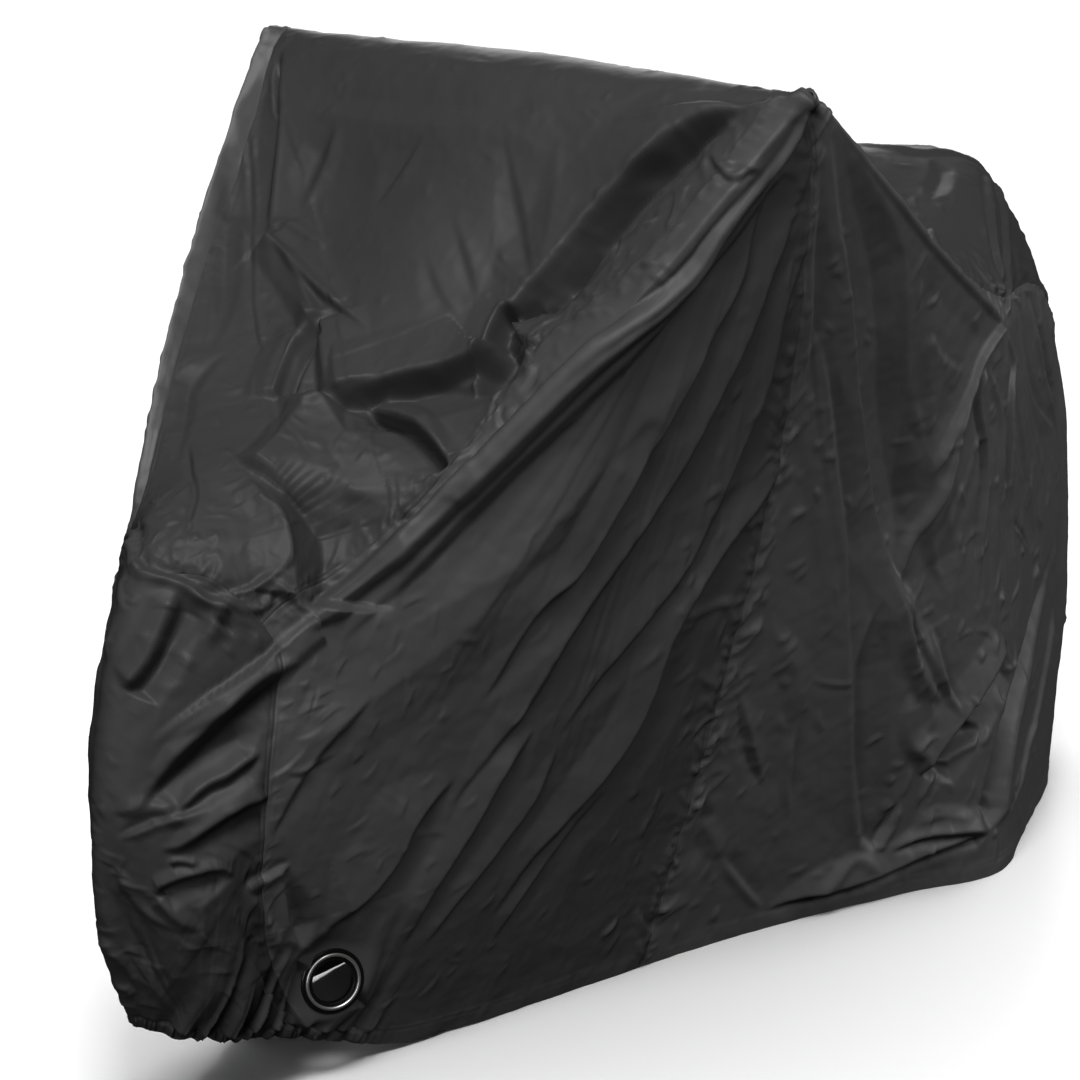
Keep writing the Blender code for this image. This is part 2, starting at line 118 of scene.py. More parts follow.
# One row for each fold: its name; its path as section and line numbers; its profile from
# left to right of the path, seen from outside, as distances and heights in millimetres,
# where a height of 0 is left out; and the shares of its length over which it grows and
# dies out.
FOLDS = """
# the rolled ridge from the near shoulder to the nose
roll | 6.92 2.86, 6.64 2.78, 6.4 2.78, 6.22 2.74, 5.68 2.92, 5.16 2.96, 4.54 2.96, 3.38 2.9
    | -22, -12 12, -5 19, -1 15, 4 19, 10 11, 13 -4, 24 | 0.35 0.05
under the roll | 6.92 2.84, 6.62 2.68, 6.3 2.62, 5.88 2.62, 5.3 2.66, 4.72 2.64, 3.86 2.6
    | -80, -36 -11, -14 -16, 6 | 0.12 0.25
roll end | 3.58 2.86, 2.88 2.92, 2.54 3.24, 2.3 3.7 | -26, -14 9, 8 11, 11 -2, 20 | 0.02 0.4
below the roll end | 3.28 2.64, 2.78 2.84, 2.46 2.96, 2.22 3.16, 2.02 3.48
    | -60, -9 -11, 8 10, 26 | 0.2 0.3
# the dark groove beside it and the seam's own cloth
groove | 6.78 3.38, 6.68 3.56, 6.56 3.66, 6.44 3.74, 6.28 3.84, 6.14 3.9, 5.98 3.94, 5.86 4, 5.72 4.02
    | -90, -44 -7, -24 -20, -12 -43, 8 10, 14 15, 80 | 0.25 0.12
groove notch one | 6.56 3.66, 6.46 3.76, 6.38 3.78 | -20, -7 -10, 3 4, 22 | 0.3 0.4
groove notch two | 6.16 3.88, 6.08 3.88, 5.98 3.92 | -20, -7 -12, 3 5, 22 | 0.3 0.3
seam shelf | 6.74 3.4, 6.54 3.58, 6.34 3.7, 6.14 3.8, 5.92 3.9, 5.68 3.94 | -14, -4 4, 4 2, 10 | 0.2 0.2
seam tuck one | 6.48 3.54, 6.42 3.62, 6.38 3.66 | -10, -3 4, 2 -5, 8 | 0.2 0.3
seam tuck two | 6.58 3.5, 6.48 3.12, 6.62 2.8 | -8, -2 5, 3 -5, 9 | 0.2 0.3
seam tuck three | 6.32 3.5, 6.26 3.62, 6.22 3.64 | -8, -3 6, 3 -6, 9 | 0.2 0.3
seam tuck four | 6.22 3.74, 6.16 3.64, 6.12 3.66 | -7, -2 4, 3 -7, 10 | 0.2 0.2
seam tuck five | 6.04 3.8, 5.94 3.86, 5.78 3.96 | -8, -2 -5, 3 4, 12 | 0.3 0.3
seam tuck six | 5.76 3.74, 5.68 3.66, 5.7 3.9 | -6, -1 -5, 3 3, 9 | 0.3 0.3
seam tuck seven | 5.64 3.54, 5.56 3.42, 5.46 3.38 | -6, -1 -5, 3 3, 9 | 0.3 0.3
seam tuck eight | 5.44 3.44, 5.36 3.38, 5.32 3.12 | -5, 0 -5, 4 3, 9 | 0.3 0.3
seam tuck nine | 5.22 3.04, 5.12 3.26, 4.96 3.26 | -6, 0 -4, 5 3, 14 | 0.3 0.3
# the plane break under the top and the plain upper face
top break | 6.5 6.34, 6.52 5.9, 6.5 5.44, 6.52 4.86, 6.66 4.46, 6.78 3.96
    | -70, -12 -2, 14 4, 80 | 0.15 0.3
top line | 6.64 4.06, 6.7 3.8, 6.76 3.58, 6.8 3.34, 7.04 2.92 | -8, 0 9, 24 | 0.5 0.05
face valley one | 6.44 6.04, 6.3 6.08, 6.06 6.14 | -26, -6 4, 10 -6, 40 | 0.3 0.4
face valley two | 6.4 5.3, 6.22 5.4, 6.06 5.52 | -20, -2 2, 8 -4, 40 | 0.3 0.4
face fall one | 6.46 4.72, 6.26 4.52, 6.06 4.26, 5.92 4.02 | -30, -5 1, 5 -4, 30 | 0.4 0.2
face fall two | 6.08 4.86, 5.92 4.62, 5.74 4.34 | -20, -3 2, 4 -2, 20 | 0.4 0.3
face fall three | 6.5 4.36, 6.24 4.2, 5.94 4 | -26, 0 4, 26 | 0.4 0.2
face fall four | 5.88 4.92, 5.72 4.64, 5.64 4.36 | -20, -2 1, 3 -1, 20 | 0.4 0.3
face slant | 6.44 3.76, 6.34 3.94, 6.2 4.06 | -20, 0 -4, 24 | 0.4 0.4
# the star of creases at the far edge and the bib below it
star upper | 5.92 6.32, 5.98 6.26, 5.98 6.16, 5.92 5.98, 5.86 5.76 | -12, 0 8, 10 | 0.1 0.3
star ridge | 5.9 6.32, 5.64 5.88, 5.44 5.52 | -46, -7 10, 0 22, 30 -5, 60 | 0.05 0.04
star second | 5.88 6.26, 5.72 6, 5.56 5.58, 5.44 4.98 | -16, -5 11, 5 -8, 24 | 0.2 0.4
star foot | 5.44 5.52, 5.26 5.28, 5.06 4.96 | -60, 0 11, 14 -10, 34 | 0.05 0.05
star wedge | 5.44 5.52, 5.26 5.68, 4.96 5.58 | -26, -16 -22, -3 -3, 0 13, 40 | 0.05 0.05
bib lip | 5.06 4.96, 5.2 4.64, 5.34 4.34, 5.54 3.98, 5.62 4.02
    | -70, -3 18, 1 15, 13 -22, 60 | 0.08 0.05
bib point | 5.06 4.96, 4.94 5.14, 4.98 5.56 | -10, 0 6, 12 | 0.1 0.4
hook | 5.78 4, 5.76 4.1, 5.66 4.06, 5.54 3.96, 5.38 3.8 | -50, -7 -26, 5 12, 12 6, 40 | 0.15 0.15
hook facet | 5.88 3.98, 5.78 4.02, 5.76 4.12 | -12, -3 -14, 3 4, 24 | 0.2 0.1
bib shade | 5.54 3.84, 5.4 3.74, 5.36 3.96, 5.28 4.36, 5.14 4.6 | -40, -4 -6, 6 -8, 14 | 0.2 0.3
pocket | 5.14 4.6, 5.12 4.5, 5.12 4.02, 5.06 3.34 | -30, -6 10, -2 5, 3 -30, 14 -12, 44 | 0.12 0.05
pocket upper edge | 5.18 4.58, 5.22 4.24, 5.18 3.86, 5.06 3.34 | -10, 0 5, 30 | 0.2 0.2
slope ridge | 5.08 5.1, 4.74 5.06, 4.44 5, 4.22 5 | -80, 0 21, 30 | 0.08 0.06
slope foot | 4.16 4.9, 4.28 4.4, 4.58 3.7, 4.96 3.36, 5.12 3.18 | -110, -50 6, 0 5, 30 -6, 70 | 0.4 0.1
slope small one | 4.94 4.5, 4.72 4.4, 4.62 4.1 | -10, 0 2, 4 -1, 12 | 0.4 0.4
slope small two | 5.14 4.38, 4.82 4.36 | -8, 0 1.6, 8 | 0.4 0.4
slope small three | 5.08 3.9, 4.76 3.96 | -8, 0 1.6, 8 | 0.4 0.4
# the far edge, seen edge on
far front edge | 6.78 6.62, 6.58 6.52, 6.44 6.45, 6.18 6.38, 5.92 6.31
    | -60, -8 5, 0 7, 8 -9, 36 -13, 70 | 0.3 0.15
far slit | 6.74 6.64, 6.58 6.56, 6.44 6.48 | -9, -2 2, 0 -14, 5 -12, 8 4, 16 | 0.3 0.2
far seam line | 6.44 6.74, 6.08 6.5, 5.66 6.32, 5.46 6.22, 5.26 6.06, 5.18 5.86
    | -7, -2 3, 1 -4, 7 | 0.1 0.1
far shade | 6.46 7.02, 6.18 6.7, 5.84 6.56, 5.4 6.42, 5.12 6.46 | -16, -6 -5, 6 -7, 22 | 0.2 0.3
far facet one | 5.4 6.12, 5.42 6, 5.3 5.72 | -14, 0 4, 16 | 0.2 0.3
far facet two | 5.4 5.74, 5 5.62, 4.68 5.18, 4.4 5.06 | -12, 0 -5, 12 | 0.2 0.3
far line low | 4.36 6.28, 4.04 5.9, 3.76 5.24, 3.26 4.42 | -14, 0 4, 3 -4, 12 | 0.2 0.3
far shade low | 5.16 6.3, 4.88 6.5, 4.62 6.48, 4.16 6.32 | -16, -2 -7, 10 -3, 24 | 0.3 0.4
# the deep pocket over the nose seam
deep pocket | 4.14 4.76, 4.12 4.34, 4 3.88, 3.8 3.56, 3.44 3.18
    | -110, -30 -36, 9 8, 16 12, 60 | 0.5 0.06
deep left edge | 4.16 4.92, 4.02 4.42, 3.96 3.98, 3.66 3.64, 3.26 3.56 | -8, 0 7, 26 | 0.1 0.2
deep line | 3.3 3.6, 3.36 3.34, 3.46 3.06 | -5, 0 6, 5 | 0.3 0.2
cheek one | 4.38 3.88, 4.36 3.74, 4.28 3.64 | -10, 0 3, 8 | 0.3 0.3
cheek two | 4.16 3.84, 4.08 3.46, 3.9 2.98 | -24, 0 3, 24 | 0.3 0.3
cheek three | 4.64 3.46, 4.64 3.26, 4.74 3.16 | -10, -3 -5, 4 4, 14 | 0.2 0.3
cheek four | 4.28 4.22, 4.44 3.8, 4.72 3.46, 4.82 3.24 | -14, 0 -4, 16 | 0.3 0.3
# pleats that fan out of the near shoulder: a dark flank each
fan top dark | 7.04 2.9, 6.84 2.78, 6.7 2.74, 6.6 2.72 | -24, -6 -16, 8 8, 16 | 0.1 0.4
fan one | 7.04 2.74, 6.7 2.64, 6.6 2.48, 6.48 2.4, 6.4 2.32, 6.32 2.26, 6.24 2.18
    | -54, -8 -6, 8 10, 50 | 0.5 0.1
fan one low | 6.3 2.26, 6.16 2.14, 6.08 2.06, 5.92 1.92, 5.7 1.92, 5.56 1.88, 5.38 1.78, 5.24 1.72
    | -56, -8 -10, 7 13, 52 | 0.2 0.3
fan two | 7.1 2.72, 6.88 2.54, 6.74 2.4, 6.68 2.32, 6.56 2.2, 6.44 2.06, 6.3 1.92, 6.08 1.76, 5.84 1.64,
    5.58 1.5, 5.28 1.44, 4.88 1.32
    | -50, -7 -4, 7 8, 50 | 0.3 0.2
fan three | 7.12 2.68, 7.04 2.46, 6.88 2.32, 6.84 2.16, 6.74 1.98, 6.66 1.82, 6.54 1.64, 6.36 1.5,
    6.1 1.36, 5.88 1.26
    | -44, -5 -4, 5 8, 44 | 0.4 0.2
fan four | 7.08 1.98, 7.04 1.82, 6.9 1.7, 6.76 1.62, 6.64 1.5, 6.54 1.36, 6.5 1.2, 6.4 1.04, 6.08 0.86,
    5.64 0.74, 5.32 0.58
    | -62, -12 -10, 9 13, 56 | 0.25 0.25
fan five | 7.16 2.66, 7.12 2.42, 7.14 2.24, 7.12 2.04 | -30, -4 -4, 4 6, 30 | 0.5 0.3
fan slant | 6.8 1.84, 6.68 1.82, 6.62 1.7, 6.56 1.6 | -10, 0 4, 8 -1, 16 | 0.3 0.4
fan light | 6.08 2.46, 5.92 2.32, 5.7 2.26, 5.32 2.2, 4.98 2.16, 4.18 2.16, 3.18 2.1
    | -56, 0 7, 50 | 0.2 0.1
belly dark | 4.96 1.44, 4.5 1.34, 4.2 1.16, 3.82 0.98, 3.54 0.88 | -46, -10 -8, 8 12, 80 | 0.3 0.15
low fan one | 5.66 1.38, 5.38 1.28, 5.02 1.08, 4.58 0.88, 4.24 0.66 | -40, -7 -5, 6 9, 40 | 0.2 0.15
low fan two | 5.88 1.22, 5.7 1.04, 5.36 0.92, 4.86 0.74, 4.42 0.58 | -30, -3 -3, 4 5, 30 | 0.2 0.3
low fan three | 6.34 0.86, 5.98 0.72, 5.62 0.58, 5.3 0.42 | -36, -5 -4, 5 6, 36 | 0.3 0.3
belly nick one | 4.52 2.22, 4.48 2.1, 4.52 1.92 | -5, 0 2, 3 -1, 7 | 0.3 0.3
belly nick two | 3.18 2.08, 3.32 1.96, 3.76 1.96 | -8, 0 3, 4 -2, 12 | 0.3 0.4
belly nick three | 5.2 2.04, 4.98 2.18 | -5, 0 2, 5 | 0.3 0.3
eyelet ridge | 4.14 2.18, 3.66 2.04, 3.28 1.8, 3.08 1.6 | -30, -4 -4, 6 5, 40 | 0.3 0.3
eyelet dark | 3.22 1.42, 3.3 1.2, 3.34 1.02, 3.36 0.78 | -22, -6 -13, 3 -13, 14 5, 30 | 0.6 0.2
eyelet left edge | 2.72 1.42, 2.94 1.2, 3.08 0.98, 3.16 0.78 | -10, 0 6, 12 | 0.2 0.2
# the cloth beside the side seam and above the hem
seam side light | 7.2 2.24, 7.38 2.14, 7.62 1.98, 7.94 1.74, 8.12 1.44, 8.32 1, 8.5 0.54, 8.64 0.28
    | -26, -4 -3, 5 5, 60 | 0.2 0.15
near rear valley | 8.52 1.44, 8.42 1.18, 8.5 0.82, 8.62 0.52, 8.74 0.26
    | -40, -16 -6, 10 -9, 22 3, 40 | 0.25 0.06
flat crease one | 7.84 1.1, 8.24 1.08, 8.28 1.16 | -5, 0 3, 4 -1, 9 | 0.3 0.3
flat crease two | 7.48 0.38, 7.74 0.24, 7.98 0.1 | -24, -2 -3, 2 4, 14 | 0.2 0.2
flat crease three | 7.16 0.56, 7.48 0.38 | -20, 0 5, 20 | 0.2 0.2
flat crease four | 8.28 0.08, 8.44 0.16, 8.6 0.24, 8.78 0.14 | -14, 0 5, 14 | 0.2 0.2
side facet one | 7.3 1.3, 7.52 1.2, 7.74 1.1, 7.82 0.86 | -26, 0 5, 26 | 0.3 0.3
side facet two | 7.16 1.06, 7.4 0.86, 7.7 0.64 | -22, -3 4, 5 -4, 22 | 0.3 0.3
side facet three | 7.86 0.94, 7.9 0.72, 8 0.5 | -20, -3 -4, 5 4, 20 | 0.3 0.3
side facet four | 7.12 0.64, 7.2 0.52, 7.22 0.36 | -20, 0 -5, 20 | 0.3 0.3
side facet five | 6.5 1.38, 6.78 1.4, 7 1.38 | -8, 0 4, 9 | 0.4 0.3
side nick one | 7 1.38, 7.26 1.42 | -5, 0 -3, 3 2, 8 | 0.3 0.3
side nick two | 6.86 0.9, 6.94 0.96, 7.1 0.98 | -7, 0 4, 3 -3, 10 | 0.3 0.3
side nick three | 6.94 0.8, 7.08 0.82, 7.08 0.94 | -7, 0 -4, 3 3, 10 | 0.3 0.3
# the rear of the near side: a taut fall, a dark scoop and a knee
fall edge | 7.3 2.8, 7.4 2.56, 7.58 2.42, 7.8 2.22, 8.1 2.02, 8.3 1.84, 8.5 1.68, 8.66 1.5, 8.78 1.34,
    8.9 1.16, 9.12 1
    | -120, -70 -18, -28 -20, -6 -2, 0 10, 50 | 0.3 0.18
fall edge low | 8.74 1.58, 8.86 1.4, 8.84 1.26, 9.06 1.06, 9.22 0.98 | -20, 0 8, 24 | 0.2 0.2
scoop | 8.95 2.86, 8.76 2.5, 8.7 2.1, 8.76 1.74, 8.86 1.4 | -70, -24 -17, 20 -14, 110 | 0.4 0.3
tip ridge | 7.1 3.02, 7.5 3.02, 8 3.02, 8.5 3.02, 9 3.02, 9.5 3.01, 9.96 3
    | -40, -6 3, 0 13, 6 4, 40 | 0.4 0.1
tip fall | 9.9 2.94, 9.62 2.66, 9.5 2.48, 9.38 2.32, 9.26 2.18, 9.12 2.02
    | -30, -8 2, 0 10, 4 5, 10 -1, 40 -3, 70 | 0.04 0.1
tip fall low | 9.44 2.4, 9.34 2.22, 9.26 2.04, 9.12 1.84, 8.94 1.66, 8.82 1.48
    | -24, -8 3, 0 10, 4 5, 10 -1, 40 -2, 70 | 0.15 0.1
scoop kink | 8.96 2.54, 9.04 2.5, 9.18 2.48, 9.36 2.5 | -26, -3 -1, 3 2, 30 | 0.1 0.2
scoop kink two | 8.98 2.54, 8.96 2.44, 9.04 2.32, 9.12 2.16 | -14, 0 2, 14 | 0.1 0.3
scoop kink three | 8.86 2.18, 9.08 2.26 | -5, 0 1, 6 | 0.3 0.3
scoop kink four | 9.24 2.36, 9.4 2.54 | -7, 0 2, 8 | 0.3 0.3
knee fan one | 8.82 1.48, 8.92 1.38, 9.04 1.24, 9.3 0.98 | -16, 0 7, 10 -2, 20 | 0.1 0.2
knee fan two | 9.12 1.34, 9.18 1.24, 9.24 1.1, 9.42 0.9 | -12, -2 -3, 3 6, 14 | 0.2 0.2
knee facet | 8.86 1.02, 8.86 0.84, 8.94 0.76, 9.1 0.7 | -26, 0 6, 16 | 0.2 0.2
knee edge | 10.06 1.26, 9.64 1, 9.28 0.78, 9.06 0.6 | -60, -24 -12, -5 -24, 1 12, 50 | 0.1 0.08
knee hollow | 9.7 0.82, 9.44 0.76, 9.2 0.66 | -26, -14 6, -3 -10, 8 -10, 14 | 0.2 0.2
knee under | 9.28 0.6, 9.16 0.54, 9.06 0.42 | -12, -2 -6, 4 5, 14 | 0.2 0.3
knee under two | 9.02 0.32, 9.24 0.38, 9.64 0.34 | -16, 0 6, 14 | 0.2 0.2
knee wedge | 8.88 0.48, 8.82 0.36, 8.74 0.26 | -14, -3 6, 4 -7, 16 | 0.2 0.1
wedge | 11.6 1.5, 11.1 1.22, 10.6 1, 10.2 0.8, 9.98 0.52, 9.86 0.26
    | -60, -28 6, -18 2, 6 -22, 20 -16, 34 | 0.45 0.06
wedge rim | 11.96 1.2, 11.38 0.7, 10.72 0.42, 10.2 0.24 | -8, 0 8, 10 | 0.1 0.2
rear fall one | 9.94 2.92, 10.28 2.68, 10.16 2.48, 10.1 2.06, 10.14 1.8 | -18, -2 6, 5 -3, 18 | 0.3 0.3
rear fall two | 9.62 2.64, 9.56 2.42, 9.7 2.16, 9.66 1.8, 9.62 1.5 | -14, -2 8, 4 -5, 16 | 0.1 0.3
rear fall three | 9.64 2.6, 9.9 2.4, 9.96 2.14, 10.04 1.82 | -10, 0 6, 12 | 0.2 0.4
rear fall four | 10.78 3.48, 10.98 2.92, 11.38 2.56, 12.02 2.26 | -26, -8 -12, 6 -5, 12 6, 26 | 0.3 0.3
rear fall five | 9.38 2.3, 9.3 2.04, 9.16 1.74, 9.32 1.46 | -14, 0 5, 12 | 0.3 0.4
rear crease | 10.2 1.9, 10.72 1.66, 10.8 1.52 | -6, 0 -5, 5 3, 12 | 0.2 0.3
rear hem fold | 8 0.08, 8.26 0.1, 8.52 0.1, 8.76 0.12, 9.16 0.18, 9.5 0.22, 9.84 0.24
    | -44, -4 13, 3 -13, 9 -4, 16 | 0.25 0.06
rear hem fold two | 8.84 0.24, 9.1 0.28, 9.44 0.28, 9.78 0.26 | -18, -3 8, 3 -6, 14 | 0.2 0.15
# the hump behind the shoulders
hump lip | 9.3 5.3, 9.4 4.9, 9.66 4.7, 10.04 4.66, 10.66 4.46 | -30, 0 5, 10 | 0.1 0.1
hump fall one | 10.4 4.36, 10.04 3.74, 10.06 3.5, 10.1 3.34 | -12, -2 5, 6 -4, 16 | 0.1 0.1
hump fall two | 10.76 4.36, 10.38 3.68, 10.08 3.14 | -14, -2 6, 5 -5, 14 | 0.1 0.05
hump valley | 9.68 4.58, 9.66 4.32, 9.44 4.1 | -20, 0 -8, 16 | 0.2 0.3
hump facet | 9.34 3.8, 9.26 3.58, 9.3 3.42 | -12, 0 5, 4 -2, 14 | 0.2 0.3
hump tuck one | 9.52 3.46, 9.5 3.2, 9.86 3.1 | -10, -2 -5, 3 5, 10 | 0.2 0.1
hump tuck two | 9.62 3.56, 9.74 3.4, 10.08 3.32 | -8, -2 -4, 3 5, 10 | 0.2 0.1
# the nose cap
brow one | 3.26 7.3, 3 4.62, 2.92 3.8, 3.2 3.5 | -18, -4 -6, 5 6, 14 | 0.1 0.2
brow light | 2.46 4.56, 2.58 4.3, 2.74 4.26, 2.9 4.26 | -26, 0 9, 14 -12, 40 | 0.1 0.15
brow dark | 2.9 4.24, 2.8 3.86, 2.64 4, 2.5 4.12 | -12, 0 -5, 18 | 0.2 0.3
brow fold | 2.9 3.88, 2.98 3.72, 3.14 3.6, 3.46 3.58 | -16, -4 -3, 0 6, 10 | 0.2 0.2
brow loop | 2.98 3.72, 2.96 3.56, 3.1 3.4, 3.28 3.48 | -10, 0 5, 5 | 0.2 0.2
nose notch | 2.94 3.7, 2.84 3.7, 2.72 3.62 | -14, 0 7, 10 | 0.1 0.3
nose notch two | 2.84 3.72, 2.84 3.6, 2.84 3.46 | -8, 0 -7, 3 3, 10 | 0.2 0.2
nose band edge | 2.86 2.44, 2.56 2.68, 2.34 2.92, 2.04 3.34 | -26, 0 -9, 22 | 0.15 0.2
nose facet one | 2.9 2.28, 2.58 2.38, 2.38 2.54, 2.12 2.74 | -18, -5 -7, 5 7, 20 | 0.15 0.3
nose facet two | 3.02 1.92, 2.8 1.98, 2.38 2.18, 2.06 2.46, 1.88 2.8 | -40, -5 -9, 4 9, 26 | 0.1 0.3
nose facet three | 1.94 4.2, 2.08 3.22, 2.14 2.68, 2.34 2.42 | -12, 0 5, 12 | 0.2 0.3
nose facet four | 1.8 3.94, 2.04 2.94, 2.34 2.44 | -14, -3 -4, 2 4, 12 | 0.2 0.3
nose dark low | 2.42 1.64, 1.96 2.14, 1.54 2.88 | -24, -10 -7, 0 -8, 6 5, 20 | 0.2 0.1
nose low line | 1.54 2.88, 1.5 2.52, 1.54 2.08 | -14, 0 6, 14 | 0.1 0.3
nose gather one | 1.62 3.96, 1.38 3.38, 1.4 2.46 | -10, 0 4, 9 | 0.2 0.3
nose gather two | 1.14 5.16, 0.88 4.42, 0.54 3.78 | -10, 0 5, 8 | 0.2 0.2
nose nick | 1.82 2.68, 1.92 2.5, 2.06 2.18 | -7, 0 5, 4 -4, 12 | 0.2 0.2
nose eyelet facet | 2.72 1.42, 3.1 1.38, 3.3 1.4 | -14, -3 -4, 3 5, 16 | 0.1 0.2
# the hidden side, guessed
far pleat one | 6.3 7.8, 5.6 8.1, 4.8 8.5 | -60, 0 10, 40 | 0.2 0.3
far pleat two | 6.9 7.5, 6.5 8.2, 6 9 | -60, -10 -8, 10 10, 70 | 0.4 0.2
far pleat three | 6.94 7.4, 6.4 7.7, 5.6 7.9, 4.8 8 | -50, -8 10, 8 -6, 50 | 0.4 0.2
far pleat four | 7 7.4, 6.9 8.2, 6.8 9.2 | -50, -8 -6, 8 8, 50 | 0.4 0.2
far fall | 7.3 7.2, 7.9 7.9, 8.7 8.6 | -60, 0 16, 40 | 0.2 0.2
far scoop | 8.5 7.4, 8.6 8, 8.8 8.5 | -100, 0 -34, 100 | 0.3 0.3
far tip fall | 9.9 7.1, 9.4 7.9, 8.9 8.7 | -30, 0 16, 50 | 0.1 0.2
far wedge | 10.6 8, 10.64 8.8, 10.7 9.5 | -50, -12 8, 12 -12, 50 | 0.3 0.1
far fall line | 9.8 7.2, 9.8 7.9, 9.9 8.6 | -20, 0 8, 30 | 0.2 0.3
dip sag | 7.6 5, 8.2 5, 8.9 5 | -140, 0 -14, 140 | 0.3 0.3
dip pleat one | 7.2 4, 7.9 4.3, 8.8 4.7 | -30, 0 8, 24 | 0.2 0.3
dip pleat two | 7.2 6.1, 8 5.8, 8.9 5.4 | -24, 0 8, 36 | 0.2 0.3
tail crease | 11.3 5, 12.2 5.12, 13.2 5.3 | -50, 0 -10, 50 | 0.2 0.2
tail pleat one | 11.2 4.5, 12.1 4.4, 13.3 4.3 | -30, 0 8, 24 | 0.2 0.2
tail pleat two | 11.1 5.8, 12.2 5.9, 13.4 6.1 | -26, 0 8, 30 | 0.2 0.2
tail slant | 10.56 2.8, 10.84 2.44, 11.7 2.26 | -24, -4 -5, 4 4, 30 | 0.2 0.3
tail side | 12 2.9, 12.4 2, 12.6 0.8 | -40, 0 8, 30 | 0.2 0.2
tail far side | 12 7.1, 12.5 8, 12.6 9.2 | -30, 0 8, 40 | 0.2 0.2
"""
PATH_STEPS = 24  # pieces of a fold's path
CREASE = (-2.4, -0.8, 0.8, 2.4)  # a crease is rounded over these offsets, mm
TAPER = 0.25  # share of a fold's width that its ends keep
TINY = 1e-9  # keeps a division by nothing from failing
LEAST_CHORD = 1e-4  # mm
NORMAL_STEP, ALONG_STEP = 0.01, 0.02  # in sections and lines, to read a direction

# ---------------------------------------------------------------- eyelets
# One row for each: the side, its section and line, and the side's sign along Y.
EYELETS = (("near", 3.52, 0.50, -1), ("far", 3.52, 9.50, 1))
FACING = (-0.42, 0.905, 0.06)  # the way a far eyelet faces; the near one mirrors it
HOLE_RADIUS = 29.4
FLAT_RADIUS, BLEND_RADIUS = 42.0, 75.0  # round it the cloth is flat, then blends
CALM_WIDTH = 30.0  # outside the flat, where small wrinkles start


def number_groups(text):
    """Groups of numbers, each filled up with zeros to the length of the longest."""
    groups = [group.split() for group in text.split(",")]
    longest = max(len(group) for group in groups)
    return np.array([group + ["0"] * (longest - len(group)) for group in groups], float)


def table_rows(table):
    """The name and the parts of each row of a table, which may run over several lines."""
    rows = []
    for line in table.strip().splitlines():
        if line.startswith(" "):
            rows[-1] += line
        elif not line.startswith("#"):
            rows.append(line)
    split = (row.split("|") for row in rows)
    return [(name.strip(), *(number_groups(part) for part in parts)) for name, *parts in split]


def curve_slopes(points, step, tension=None):
    """Slopes of a smooth curve through points along axis 1, a step apart."""
    wide = step[..., None]
    slope = np.diff(points, axis=1) / wide
    a, b = wide[:, :-1], wide[:, 1:]
    lean = np.zeros_like(points)
    lean[:, 1:-1] = (slope[:, :-1] * b + slope[:, 1:] * a) / (a + b)
    if tension is not None:
        lean *= 1 - tension
    lean[:, 0] = 1.5 * slope[:, 0] - 0.5 * lean[:, 1]
    lean[:, -1] = 1.5 * slope[:, -1] - 0.5 * lean[:, -2]
    return lean


def curve_read(points, step, lean, row, at):
    """Points on the curves at fractional numbers, one curve row for each."""
    k = np.clip(np.floor(at).astype(int), 0, points.shape[1] - 2)
    f = (at - k)[:, None]
    h = step[row, k][:, None]
    return ((2 * f ** 3 - 3 * f ** 2 + 1) * points[row, k]
            + (f ** 3 - 2 * f ** 2 + f) * h * lean[row, k]
            + (3 * f ** 2 - 2 * f ** 3) * points[row, k + 1]
            + (f ** 3 - f ** 2) * h * lean[row, k + 1])


def section_points():
    """The sections' eleven points each, near hem to far hem, in millimetres."""
    rows = []
    for name, near in table_rows(SECTIONS):
        far = near[4::-1] * (1, -1, 1)
        step = np.array(FAR_STEPS.get(name, (0, 0, 0)), float)
        rows.append(np.vstack((near, far + np.outer(FAR_SHARE, step))))
    return np.array(rows)


LINES = np.swapaxes(section_points(), 0, 1)  # one row of points for each line
LINE_CHORD = np.linalg.norm(np.diff(LINES, axis=1), axis=-1).mean(0)
LINE_STEP = np.tile(LINE_CHORD ** CHORD_POWER, (len(LINES), 1))
LINE_TENSION = np.zeros(LINES.shape[:2] + (1,))
for corner in POINT_SECTIONS:
    LINE_TENSION[[NEAR_EDGE, FAR_EDGE], corner] = POINT_TURN
LINE_SLOPE = curve_slopes(LINES, LINE_STEP, LINE_TENSION)


def shell(sections, lines):
    """The cover without its folds, at paired section and line numbers."""
    marks, row = np.unique(sections, return_inverse=True)
    every = np.repeat(np.arange(len(LINES)), len(marks))
    across = curve_read(LINES, LINE_STEP, LINE_SLOPE, every, np.tile(marks, len(LINES)))
    across = np.swapaxes(across.reshape(len(LINES), len(marks), 3), 0, 1)
    chord = np.linalg.norm(np.diff(across, axis=1), axis=-1)
    step = np.maximum(chord, LEAST_CHORD) ** CHORD_POWER
    tension = np.zeros(across.shape[:2] + (1,))
    turn = np.interp(marks, np.arange(len(EDGE_TURN)), EDGE_TURN)
    tension[:, [NEAR_EDGE, FAR_EDGE], 0] = turn[:, None]
    return curve_read(across, step, curve_slopes(across, step, tension), row, lines)


def steps_of(line):
    """The lengths of a line's pieces."""
    return np.linalg.norm(np.diff(line, axis=0), axis=1)


def running(steps):
    """The sum of the steps before each point."""
    return np.concatenate(([0], np.cumsum(steps)))


def unit(v):
    """Vectors at a length of 1."""
    return v / np.maximum(np.linalg.norm(v, axis=-1, keepdims=True), TINY)


